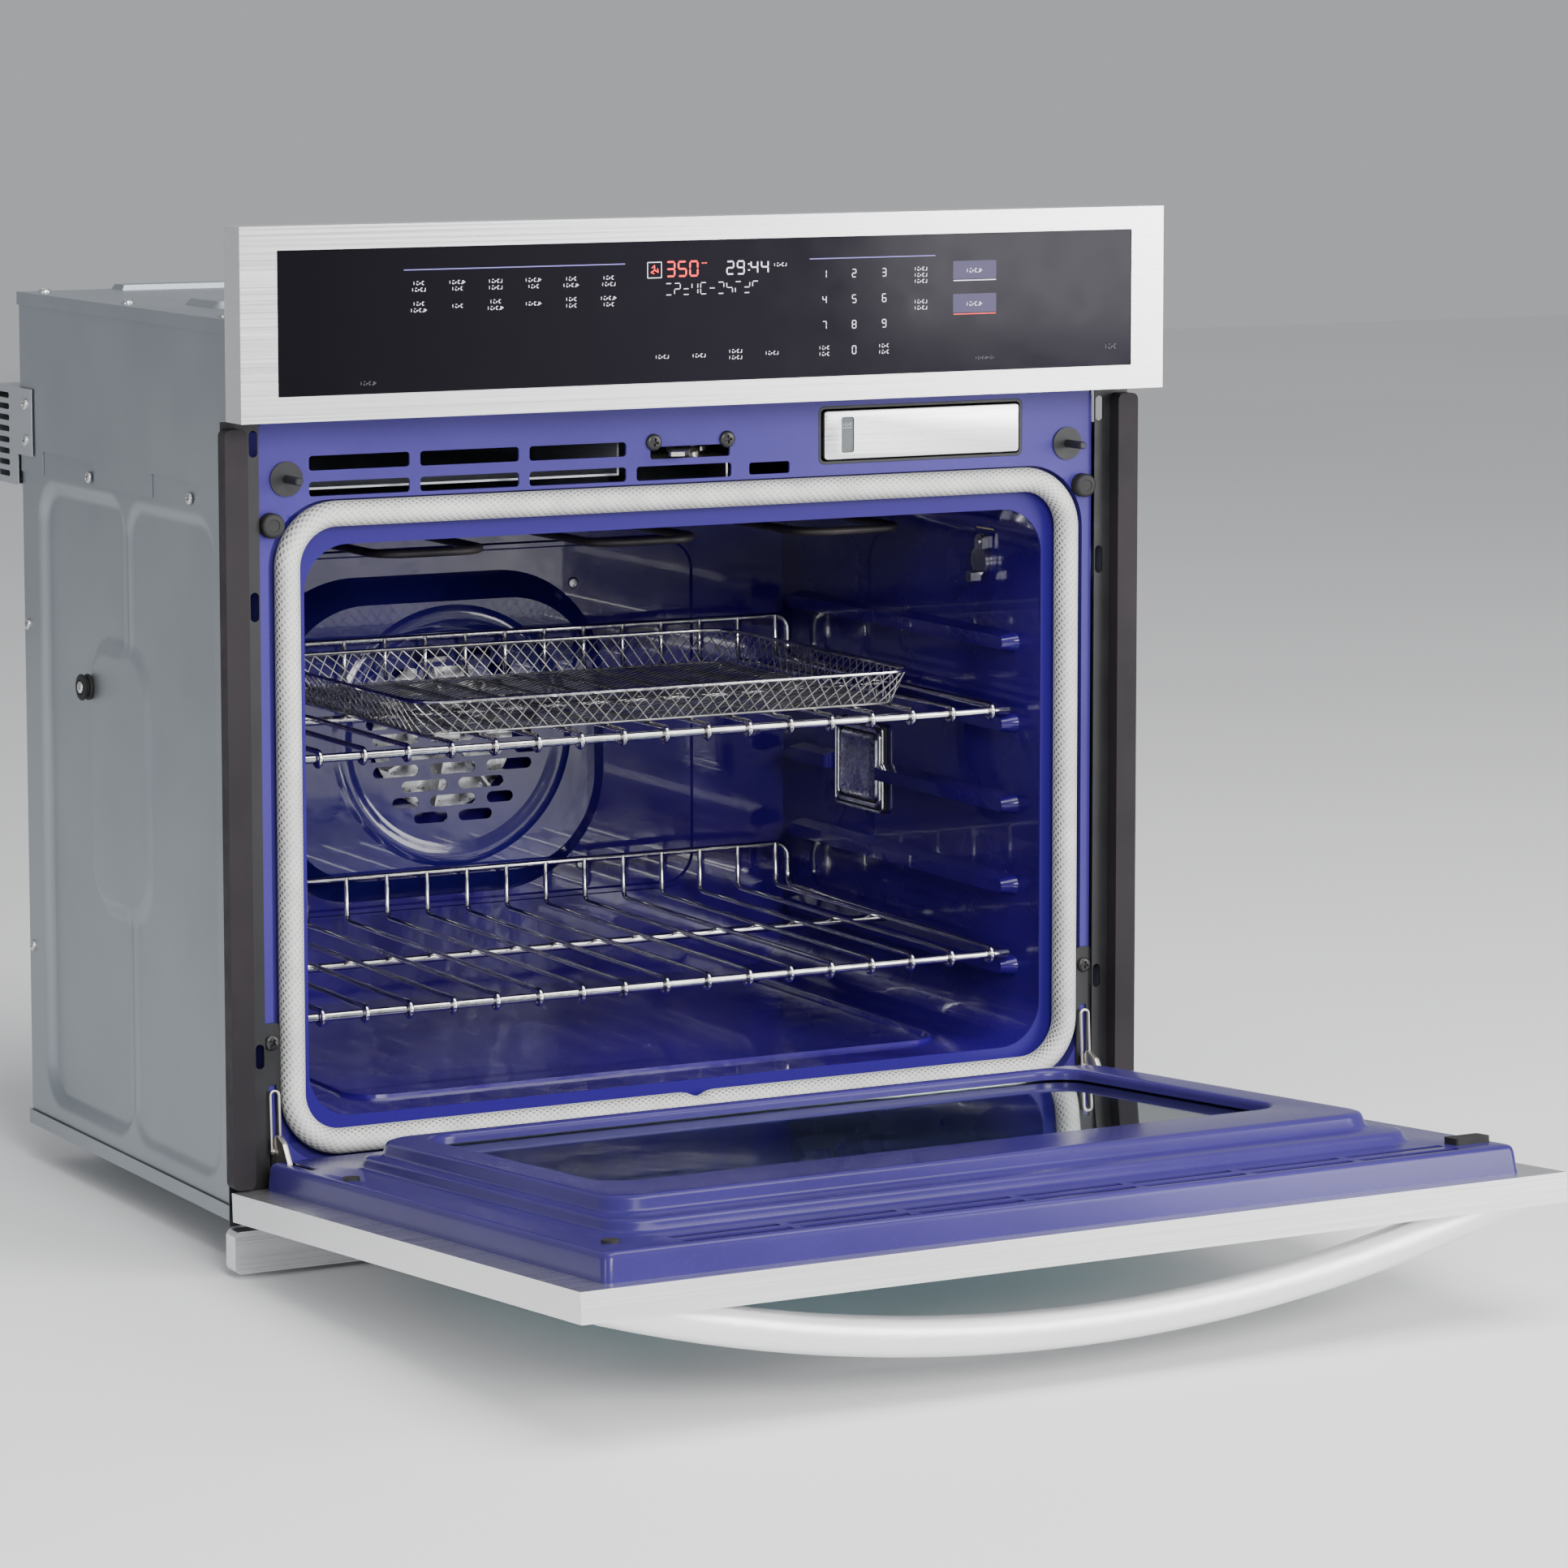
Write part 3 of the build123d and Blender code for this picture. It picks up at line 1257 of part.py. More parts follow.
def door_shell():
    """Stainless outer shell: face, edges and the flange that the inner panel sits on."""
    middle, length = along(0, DOOR_LENGTH)
    window_middle, window_length = along(OUTER_WINDOW_NEAR, OUTER_WINDOW_FAR)
    rim_middle, rim_length = along(3, 546)
    with BuildPart() as shell:
        with BuildSketch(on_door(-DOOR_SHELL_DEPTH)):
            with Locations((0, middle)):
                Rectangle(OVEN_WIDTH, length)
        extrude(amount=DOOR_SHELL_DEPTH)
        with BuildSketch(on_door(-DOOR_SHELL_DEPTH + DOOR_SKIN)):
            with Locations((0, middle)):
                Rectangle(OVEN_WIDTH - 2 * DOOR_SKIN, length - 2 * DOOR_SKIN)
        extrude(amount=DOOR_SHELL_DEPTH - 2 * DOOR_SKIN, mode=Mode.SUBTRACT)
        with BuildSketch(on_door(-DOOR_SKIN - 1)):
            with Locations((0, rim_middle)):
                Rectangle(700, rim_length)
            with Locations((-HINGE_X, -8), (HINGE_X, -8)):
                Rectangle(6, 18)
        extrude(amount=DOOR_SKIN + 2, mode=Mode.SUBTRACT)
        with BuildSketch(on_door(-12)):
            with Locations((-HINGE_X, 0), (HINGE_X, 0)):
                Rectangle(6, 8)
        extrude(amount=13, mode=Mode.SUBTRACT)
        with BuildSketch(on_door(-DOOR_SHELL_DEPTH - 1)):
            with Locations((0, window_middle)):
                RectangleRounded(2 * OUTER_WINDOW_HALF_WIDTH, window_length, 6)
        extrude(amount=DOOR_SKIN + 2, mode=Mode.SUBTRACT)
    save(shell, "door_shell")


def door_glass():
    window_middle, window_length = along(OUTER_WINDOW_NEAR, OUTER_WINDOW_FAR)
    pane_middle, pane_length = along(WINDOW_NEAR - 9, WINDOW_FAR + 9)
    with BuildPart() as outer:
        with BuildSketch(on_door(-DOOR_SHELL_DEPTH + DOOR_SKIN)):
            with Locations((0, window_middle)):
                Rectangle(2 * OUTER_WINDOW_HALF_WIDTH + 24, window_length + 24)
        extrude(amount=4)
        with BuildSketch(on_door(-DOOR_SHELL_DEPTH + 0.3)):
            with Locations((0, window_middle)):
                RectangleRounded(2 * OUTER_WINDOW_HALF_WIDTH - 0.6, window_length - 0.6, 5.7)
        extrude(amount=DOOR_SKIN)
    save(outer, "door_outer_glass")
    with BuildPart() as inner:
        for height in (7, 25.8):
            with BuildSketch(on_door(height)):
                with Locations((0, pane_middle)):
                    Rectangle(2 * WINDOW_HALF_WIDTH + 18, pane_length)
            extrude(amount=4)
    save(inner, "door_inner_panes")
    with BuildPart() as frame:
        for low, high in ((-14.6, 7), (11, 25.8)):
            with BuildSketch(on_door(low)):
                with Locations((0, pane_middle)):
                    Rectangle(2 * WINDOW_HALF_WIDTH + 18, pane_length)
                    Rectangle(2 * WINDOW_HALF_WIDTH + 4, pane_length - 14, mode=Mode.SUBTRACT)
            extrude(amount=high - low - 0.1)
    save(frame, "window_frame")


def door_levels():
    """The three raised levels of the inner panel: half width, near, far, foot, top, radius."""
    return (
        (DOOR_BASE_HALF_WIDTH, DOOR_BASE_NEAR, DOOR_BASE_FAR, 0, DOOR_BASE_RISE, 7),
        (STEP_ONE_HALF_WIDTH, STEP_ONE_NEAR, STEP_ONE_FAR, DOOR_BASE_RISE, STEP_ONE_RISE, 30),
        (STEP_TWO_HALF_WIDTH, STEP_TWO_NEAR, STEP_TWO_FAR, STEP_ONE_RISE, STEP_TWO_RISE, 26),
    )


def door_inner_panel():
    """Enamelled inner panel, pressed in three levels, hollow behind, with the window."""
    with BuildPart() as panel:
        for half_width, near, far, foot, top, radius in door_levels():
            middle, length = along(near, far)
            with BuildSketch(on_door(foot)):
                with Locations((0, middle)):
                    RectangleRounded(2 * half_width, length, radius)
            extrude(amount=top - foot, taper=6)
        fillet(panel.edges().filter_by(GeomType.LINE).filter_by(
            lambda edge: abs((edge @ 0.5 - edge @ 0).normalized().Z) < 0.2), 1.5)
        for half_width, near, far, foot, top, radius in door_levels():
            middle, length = along(near + INNER_SKIN, far - INNER_SKIN)
            drop = 1 if foot == 0 else INNER_SKIN + 0.3
            with BuildSketch(on_door(foot - drop)):
                with Locations((0, middle)):
                    RectangleRounded(2 * (half_width - INNER_SKIN) - 1, length - 1, radius)
            extrude(amount=top - foot + drop - INNER_SKIN, taper=6, mode=Mode.SUBTRACT)
        window_middle, window_length = along(WINDOW_NEAR, WINDOW_FAR)
        with BuildSketch(on_door(STEP_TWO_RISE + 1)):
            with Locations((0, window_middle)):
                RectangleRounded(2 * WINDOW_HALF_WIDTH, window_length, 28)
        extrude(amount=-12, mode=Mode.SUBTRACT)
        with BuildSketch(on_door(STEP_TWO_RISE - 0.8)):
            with Locations((0, window_middle)):
                RectangleRounded(2 * WINDOW_HALF_WIDTH + 8, window_length + 8, 32)
                RectangleRounded(2 * WINDOW_HALF_WIDTH, window_length, 28, mode=Mode.SUBTRACT)
        extrude(amount=-7.7)
        with BuildSketch(on_door(DOOR_BASE_RISE + 2)):
            for n in range(DOOR_SLOTS):
                x = DOOR_SLOT_CENTRE_X + (n - (DOOR_SLOTS - 1) / 2) * DOOR_SLOT_PITCH
                with Locations((x, -515), (x, -533.5)):
                    RectangleRounded(DOOR_SLOT_LENGTH, 9, 2)
            with Locations((-HINGE_X, -30), (HINGE_X, -30)):
                Rectangle(6, 64)
        extrude(amount=-8, mode=Mode.SUBTRACT)
        with BuildSketch(on_door(-1)):
            with Locations((-HINGE_X, -2), (HINGE_X, -2)):
                Rectangle(6, 8)
        extrude(amount=DOOR_BASE_RISE + 2, mode=Mode.SUBTRACT)
    save(panel, "door_inner_panel")


def door_handle():
    """Bowed oval bar whose ends run into the door's face."""
    with BuildPart() as handle:
        with BuildLine(handle_plane()) as line:
            ThreePointArc(
                (-HANDLE_HALF_SPAN, -HANDLE_END_DROP),
                (0, -HANDLE_BOW),
                (HANDLE_HALF_SPAN, -HANDLE_END_DROP),
            )
        start = line.line @ 0
        with BuildSketch(Plane(origin=start, x_dir=handle_plane().z_dir, z_dir=line.line % 0)):
            Ellipse(HANDLE_WIDTH / 2, HANDLE_THICK / 2)
        sweep(path=line.line)
        with BuildSketch(on_door(-DOOR_SHELL_DEPTH)):
            with Locations((0, -HANDLE_NEAR)):
                Rectangle(OVEN_WIDTH + 40, 80)
        extrude(amount=40, mode=Mode.SUBTRACT)
    save(handle, "door_handle")


def handle_plane():
    """The handle's own plane, square to the door: local x = X, local y is door height."""
    up = on_door().z_dir
    return Plane(origin=door_point(0, HANDLE_NEAR, 0), x_dir=(1, 0, 0), z_dir=Vector(1, 0, 0).cross(up))


def door_pads():
    """Rubber pads and the switch plate on the inner panel's rim."""
    with BuildPart() as pads:
        with BuildSketch(on_door(DOOR_BASE_RISE)):
            for place in ((-328, -510), (-340, -128), (340, -128)):
                with Locations(place):
                    Circle(6)
        extrude(amount=2.2)
        with BuildSketch(on_door(DOOR_BASE_RISE)):
            with Locations((331, -514.2)):
                RectangleRounded(28, 16.5, 2)
        extrude(amount=4.6)
    save(pads, "door_pads")


# --- hinges ------------------------------------------------------------------
def pivot_point():
    """The hinge axis in the oven's frame, as (y, z)."""
    point = door_point(0, PIVOT_NEAR, -PIVOT_DROP)
    return point[1], point[2]


def hinges():
    pivot = pivot_point()
    with BuildPart() as arms:
        for side in (-1, 1):
            with BuildSketch(facing_right(side * HINGE_X - HINGE_ARM_THICK / 2)):
                with BuildLine():
                    Polyline(
                        (-34, 36), (-30, 52), (-20, 66), (-8, 71), (2, 62), (24, 62), (24, 48),
                        (16, 44), (24, 40), (24, 24), (0, 24), (-12, 24), close=True,
                    )
                make_face()
                with Locations(pivot):
                    Circle(8)
            extrude(amount=HINGE_ARM_THICK)
            with BuildSketch(facing_right(side * HINGE_X - HINGE_ARM_THICK)):
                with Locations(pivot):
                    Circle(HINGE_PIN_RADIUS + SHAFT_CLEARANCE)
            extrude(amount=2 * HINGE_ARM_THICK, mode=Mode.SUBTRACT)
            with BuildSketch(facing_right(side * HINGE_X - 5)):
                with Locations((-4, 58)):
                    Circle(2)
            extrude(amount=10)
    save(arms, "hinge_arms")
    with BuildPart() as receivers:
        for side in (-1, 1):
            with BuildSketch(facing_front(FRAME_FACE)):
                with Locations((side * 339.5, 91)):
                    RectangleRounded(12.6, 118, 3)
                with Locations((side * HINGE_X, 60)):
                    Rectangle(HINGE_ARM_THICK + 1.6, 90, mode=Mode.SUBTRACT)
            extrude(amount=1.6)
            with BuildSketch(facing_front(60)):
                with Locations((side * HINGE_X, 72)):
                    Rectangle(14, 110)
                    Rectangle(10, 106, mode=Mode.SUBTRACT)
            extrude(amount=42.6)
    save(receivers, "hinge_receivers")
    with BuildPart() as door_side:
        for side in (-1, 1):
            for x in (side * HINGE_X - 9.5, side * HINGE_X + 8):
                with BuildSketch(on_door(-19)):
                    with Locations((x + 0.75, -100.5)):
                        Rectangle(1.5, 179)
                extrude(amount=34)
            with BuildSketch(on_door(-19)):
                with Locations((side * HINGE_X, -100.5)):
                    Rectangle(19, 179)
            extrude(amount=1.5)
            with BuildSketch(facing_right(side * HINGE_X - 9.5)):
                with Locations(pivot):
                    Circle(HINGE_PIN_RADIUS)
            extrude(amount=19)
            with BuildSketch(on_door(-19)):
                with Locations((side * HINGE_X, -182)):
                    Rectangle(16, 4)
            extrude(amount=30)
        for side in (-1, 1):
            start = Vector(*door_point(side * HINGE_X, 179, -1))
            toward_hinge = Vector(*door_point(side * HINGE_X, 178, -1)) - start
            with BuildLine() as coil:
                Helix(
                    pitch=7, height=98, radius=5.5, center=tuple(start),
                    direction=tuple(toward_hinge),
                )
            with BuildSketch(Plane(origin=coil.line @ 0, z_dir=coil.line % 0)):
                Circle(1.2)
            sweep(path=coil.line, is_frenet=True)
    save(door_side, "door_hinges")


def hinge_lock(side):
    """Lever that is folded down to hold the hinge while the door is lifted off."""
    with BuildPart() as lock:
        for x in (side * HINGE_X - 4, side * HINGE_X + 2.8):
            with BuildSketch(facing_right(x)):
                with BuildLine():
                    Polyline(
                        (-6.6, 54), (-1.6, 54), (-0.8, 66), (-0.2, 84), (0.6, 102), (-3.4, 102),
                        (-5, 84), close=True,
                    )
                make_face()
                with Locations((-4, 58)):
                    Circle(2.85)
                    Circle(2.05, mode=Mode.SUBTRACT)
            extrude(amount=1.2)
        with BuildSketch(facing_right(side * HINGE_X - 4)):
            with Locations((-1.4, 98.5)):
                Rectangle(4, 7)
        extrude(amount=8)
    save(lock, f"hinge_lock_{hand(side)}")


# --- fasteners ---------------------------------------------------------------
def pan_head(plane, radius, height):
    """A pan head, domed, for the part being built."""
    with BuildSketch(plane) as head:
        Circle(radius)
    extrude(head.sketch, amount=height * 0.5)
    with BuildSketch(plane.offset(height * 0.5)) as dome:
        Circle(radius)
    extrude(dome.sketch, amount=height * 0.5, taper=45)


def steel_screws():
    """Pan-head screws of the chassis, the rear duct and the fan cover."""
    with BuildPart() as screws:
        for side in (-1, 1):
            for y in (301, 102):
                pan_head(outward(side, UPPER_SIDE_FACE, y, 520), 4.5, 2.4)
            for z in (395, 142):
                pan_head(outward(side, SIDE_PANEL_FACE, 438, z), 4.5, 2.4)
            for y in (426, 198):
                pan_head(outward(side, CHASSIS_WIDTH / 2, y, 6), 4, 2.2)
            for z in (DUCT_HIGH - 12, DUCT_HIGH - 40):
                pan_head(outward(side, CHASSIS_WIDTH / 2 + 0.2 + SHEET, 428, z), 4.5, 2.4)
            for y in (60, 248, 420):
                pan_head(Plane(origin=(side * 344, y, CHASSIS_TOP), z_dir=(0, 0, 1)), 5, 3)
        for x, z in FAN_COVER_SCREWS:
            pan_head(Plane(origin=(x, CAVITY_BACK, z), z_dir=(0, -1, 0)), 4.5, 2.2)
    save(screws, "steel_screws")


def black_screws():
    with BuildPart() as screws:
        for x in (-30.4, 30.4):
            with BuildSketch(facing_front(FRAME_FACE)):
                with Locations((x, 555)):
                    Circle(6.2)
            extrude(amount=2.6)
        for x in (-338.4, 338.4):
            with BuildSketch(facing_front(FRAME_FACE - 1.6)):
                with Locations((x, 136)):
                    Circle(5.6)
            extrude(amount=3)
    save(screws, "black_screws")


base_pan()
side_panels()
side_trims()
for hand_sign in (-1, 1):
    hinge_lock(hand_sign)
upper_sides()
side_channels()
top_cover()
component_deck()
back_panel()
rear_duct()
motor_cover()
terminal_box()
front_frame()
cavity_liner()
insulation()
gasket()
fan_cover()
convection_fan()
fan_motor()
heating_elements()
lamp()
probe()
temperature_sensor()
cooling_blower()
control_panel()
latch()
plungers()
bumpers()
steam_drawer()
bottom_trim()
for rack_name, rack_level in (("lower", RACK_LOWER_Z), ("upper", RACK_LOWER_Z + RACK_SPACING)):
    rack(f"{rack_name}_rack", rack_level)
    rack_backstop(f"{rack_name}_rack_backstop", rack_level)
basket()
door_shell()
door_glass()
door_inner_panel()
door_handle()
door_pads()
hinges()
steel_screws()
black_screws()
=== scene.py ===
import json
import math
import random

import bmesh
import bpy
from mathutils import Matrix, Vector


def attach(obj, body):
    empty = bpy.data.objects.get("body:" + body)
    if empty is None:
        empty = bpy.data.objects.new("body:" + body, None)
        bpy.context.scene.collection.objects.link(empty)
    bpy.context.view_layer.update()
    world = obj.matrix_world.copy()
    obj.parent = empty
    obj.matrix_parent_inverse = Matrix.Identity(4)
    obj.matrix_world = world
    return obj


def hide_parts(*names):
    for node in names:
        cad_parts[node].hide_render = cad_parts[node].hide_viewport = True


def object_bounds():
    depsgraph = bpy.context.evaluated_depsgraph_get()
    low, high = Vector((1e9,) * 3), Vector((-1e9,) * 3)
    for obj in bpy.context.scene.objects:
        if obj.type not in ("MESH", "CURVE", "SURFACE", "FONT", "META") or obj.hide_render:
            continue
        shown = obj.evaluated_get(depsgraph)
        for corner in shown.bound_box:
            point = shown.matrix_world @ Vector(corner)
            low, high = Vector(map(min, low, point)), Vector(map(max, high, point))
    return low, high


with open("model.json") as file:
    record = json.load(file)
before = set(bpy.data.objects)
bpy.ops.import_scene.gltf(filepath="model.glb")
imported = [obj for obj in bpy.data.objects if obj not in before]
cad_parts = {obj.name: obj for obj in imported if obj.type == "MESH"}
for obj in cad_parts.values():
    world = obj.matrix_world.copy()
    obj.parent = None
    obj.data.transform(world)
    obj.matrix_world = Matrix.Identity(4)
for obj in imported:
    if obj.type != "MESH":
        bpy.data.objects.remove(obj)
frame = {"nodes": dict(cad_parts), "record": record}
CAD_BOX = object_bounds()
NODES = frame["nodes"]

# Lengths are in millimetres unless a comment says otherwise. The origin is at mid-width, on the
# cabinet's face, at the height of the cut-out's floor. The front faces -Y.
MM = 0.001
TURN = 2 * math.pi


# --- node materials ------------------------------------------------------------
class Paint:
    """A procedural material: the shader plus short helpers that add nodes to it.

    Scales and bump distances are in metres, because the object coordinates are.
    """

    def __init__(self, name, **sockets):
        self.material = bpy.data.materials.new(name)
        self.material.use_nodes = True
        self.tree = self.material.node_tree
        self.shader = self.tree.nodes["Principled BSDF"]
        for key, value in sockets.items():
            self.put(self.shader, key, value)
        self.place = self.add("ShaderNodeTexCoord").outputs["Object"]

    def add(self, kind, **settings):
        node = self.tree.nodes.new(kind)
        for key, value in settings.items():
            setattr(node, key, value)
        return node

    def put(self, node, key, value):
        socket = node.inputs[key] if isinstance(key, int) else node.inputs[key.replace("_", " ")]
        if isinstance(value, bpy.types.NodeSocket):
            self.tree.links.new(value, socket)
        elif socket.type == "RGBA" and len(value) == 3:
            socket.default_value = (*value, 1)
        else:
            socket.default_value = value

    def stretched(self, scale):
        node = self.add("ShaderNodeMapping")
        self.put(node, "Vector", self.place)
        self.put(node, "Scale", scale)
        return node.outputs[0]

    def noise(self, scale, detail=2.0, rough=0.5, at=None):
        node = self.add("ShaderNodeTexNoise")
        self.put(node, "Vector", at or self.place)
        self.put(node, "Scale", scale)
        self.put(node, "Detail", detail)
        self.put(node, "Roughness", rough)
        return node.outputs[0]

    def cells(self, scale):
        node = self.add("ShaderNodeTexVoronoi", feature="F1")
        self.put(node, "Vector", self.place)
        self.put(node, "Scale", scale)
        return node.outputs["Distance"]

    def range(self, value, low, high, to_low=0.0, to_high=1.0):
        node = self.add("ShaderNodeMapRange")
        self.put(node, 0, value)
        for index, number in enumerate((low, high, to_low, to_high)):
            self.put(node, index + 1, number)
        return node.outputs[0]

    def math(self, operation, a, b=0.0):
        node = self.add("ShaderNodeMath", operation=operation)
        self.put(node, 0, a)
        self.put(node, 1, b)
        return node.outputs[0]

    def mix(self, amount, first, second):
        node = self.add("ShaderNodeMix", data_type="RGBA")
        self.put(node, 0, amount)
        self.put(node, 6, first)
        self.put(node, 7, second)
        return node.outputs[2]

    def along(self, axis):
        """One object coordinate: 0 is X, 1 is Y and 2 is Z."""
        node = self.add("ShaderNodeSeparateXYZ")
        self.put(node, 0, self.place)
        return node.outputs[axis]

    def bump(self, height, distance, strength=1.0):
        node = self.add("ShaderNodeBump")
        self.put(node, "Height", height)
        self.put(node, "Distance", distance)
        self.put(node, "Strength", strength)
        self.put(self.shader, "Normal", node.outputs[0])

    def colour(self, value):
        self.put(self.shader, "Base Color", value)

    def rough(self, value):
        self.put(self.shader, "Roughness", value)


def brushed_steel(name, light, dark, grain=(3, 900, 900), rough=(0.24, 0.36)):
    """Brushed stainless: fine streaks across two axes, broad cloudy tone on top."""
    m = Paint(name, Metallic=1.0)
    streaks = m.noise(1.0, 4, 0.6, m.stretched(grain))
    cloud = m.noise(2.2, 2)
    tone = m.math("ADD", m.math("MULTIPLY", streaks, 0.75), m.math("MULTIPLY", cloud, 0.25))
    m.colour(m.mix(m.range(tone, 0.3, 0.7), dark, light))
    m.rough(m.range(streaks, 0.3, 0.7, *rough))
    m.bump(streaks, 0.00004, 0.4)
    return m.material


# the middle line of the gasket, which bounds the deep blue rim of the cavity's mouth
MOUTH_HALF_WIDTH = 322.0
MOUTH_MIDDLE = 286.5
MOUTH_HALF_HEIGHT = 227.5


def speckled_enamel(name, base, deep, speck, rough, mouth=None):
    """Enamel with a cloudy base and fine flecks; mouth is its colour inside the gasket."""
    m = Paint(name, Coat_Weight=0.05, Coat_Roughness=0.1, Specular_IOR_Level=0.26)
    colour = m.mix(m.range(m.noise(5.0, 4), 0.3, 0.7), deep, base)
    flecks = m.range(m.cells(1500), 0.16, 0.05)
    sparse = m.range(m.noise(420, 1), 0.52, 0.66)
    colour = m.mix(m.math("MULTIPLY", flecks, sparse), colour, speck)
    if mouth:
        across = m.math("SUBTRACT", m.math("ABSOLUTE", m.along(0)), MOUTH_HALF_WIDTH * MM)
        from_middle = m.math("ABSOLUTE", m.math("SUBTRACT", m.along(2), MOUTH_MIDDLE * MM))
        upward = m.math("SUBTRACT", from_middle, MOUTH_HALF_HEIGHT * MM)
        outside = m.math("MAXIMUM", across, upward)
        colour = m.mix(m.range(outside, 0.001, -0.001), colour, mouth)
    m.colour(colour)
    m.rough(m.range(m.noise(900, 2), 0.3, 0.7, rough * 0.85, rough * 1.2))
    m.bump(m.math("MULTIPLY", m.noise(1300, 2), 0.1), 0.0003, 0.35)
    return m.material


def cavity_enamel(name, base, deep):
    """Glossy deep enamel whose slow ripples break up the reflections."""
    m = Paint(name, Coat_Weight=0.5, Coat_Roughness=0.03, Specular_IOR_Level=0.45)
    m.colour(m.mix(m.range(m.noise(7, 3), 0.3, 0.7), deep, base))
    m.rough(m.range(m.noise(30, 3), 0.3, 0.7, 0.10, 0.22))
    ripple = m.math("ADD", m.noise(26, 2), m.math("MULTIPLY", m.noise(160, 2), 0.10))
    m.bump(ripple, 0.0016, 0.5)
    return m.material


def zinc_sheet(name, light, dark, rough=(0.36, 0.5), metal=0.85):
    """Galvanized sheet: soft cloudy tone, faint rolling lines and pinhead specks."""
    m = Paint(name, Metallic=metal)
    cloud = m.noise(3.5, 5, 0.55)
    rolled = m.noise(1.0, 3, 0.5, m.stretched((220, 4, 6)))
    tone = m.math("ADD", m.math("MULTIPLY", cloud, 0.7), m.math("MULTIPLY", rolled, 0.3))
    specks = m.range(m.cells(700), 0.1, 0.02)
    colour = m.mix(m.range(tone, 0.32, 0.68), dark, light)
    m.colour(m.mix(m.math("MULTIPLY", specks, 0.25), colour, light))
    m.rough(m.range(tone, 0.3, 0.7, *rough))
    m.bump(m.noise(500, 2), 0.00005, 0.5)
    return m.material


def satin(name, base, worn, rough=0.45, grain=900, metal=0.0, shine=0.4):
    """Paint or moulded plastic: a slight tone change and a fine orange-peel texture."""
    m = Paint(name, Metallic=metal, Specular_IOR_Level=shine)
    m.colour(m.mix(m.range(m.noise(18, 4), 0.35, 0.75), base, worn))
    m.rough(m.range(m.noise(60, 3), 0.3, 0.7, rough * 0.85, rough * 1.15))
    m.bump(m.noise(grain, 3), 0.00006, 0.6)
    return m.material


def bright_wire(name, light, dark, rough=0.12):
    """Plated or bare metal with a slight change of tone and shine."""
    m = Paint(name, Metallic=1.0)
    m.colour(m.mix(m.range(m.noise(60, 3), 0.35, 0.7), dark, light))
    m.rough(m.range(m.noise(300, 3), 0.3, 0.7, rough * 0.7, rough * 1.5))
    m.bump(m.noise(1200, 2), 0.00003, 0.4)
    return m.material


def times(colour, factor):
    return tuple(c * factor for c in colour)


def clear_glass(name, tint):
    """Tinted glass with faint smears."""
    m = Paint(name, Transmission_Weight=1.0, IOR=1.5)
    m.colour(m.mix(m.range(m.noise(6, 3), 0.35, 0.7), tint, times(tint, 0.93)))
    m.rough(m.range(m.noise(25, 4), 0.4, 0.8, 0.02, 0.05))
    return m.material


def dark_glass(name, base):
    """Black panel glass with a painted reflection: its colour grows a little paler towards the
    right.
    """
    m = Paint(name, Specular_IOR_Level=0.1)
    across = m.math("ADD", m.along(0), m.math("MULTIPLY", m.noise(3, 2), 0.05))
    # painted reflection: the base colour pales towards the right
    m.colour(m.mix(m.range(across, -0.3, 0.35), base, times(base, 3.2)))
    m.rough(m.range(m.noise(40, 3), 0.3, 0.7, 0.06, 0.12))
    return m.material


def glow(name, colour, strength):
    """Marks on the glass, all given a glow: the lit display's own light, and painted light on the
    printed marks.
    """
    m = Paint(name, Emission_Strength=strength, Roughness=0.4)
    tone = m.mix(m.range(m.noise(2500, 2), 0.3, 0.7), colour, times(colour, 0.85))
    m.colour(tone)
    m.put(m.shader, "Emission Color", tone)
    return m.material


def wool(name):
    """Yellowish mineral wool, fluffy by its bump."""
    m = Paint(name, Roughness=0.95)
    m.colour(m.mix(m.range(m.noise(90, 6), 0.3, 0.7), (0.42, 0.34, 0.16), (0.75, 0.66, 0.42)))
    m.bump(m.noise(400, 6), 0.002, 0.8)
    return m.material


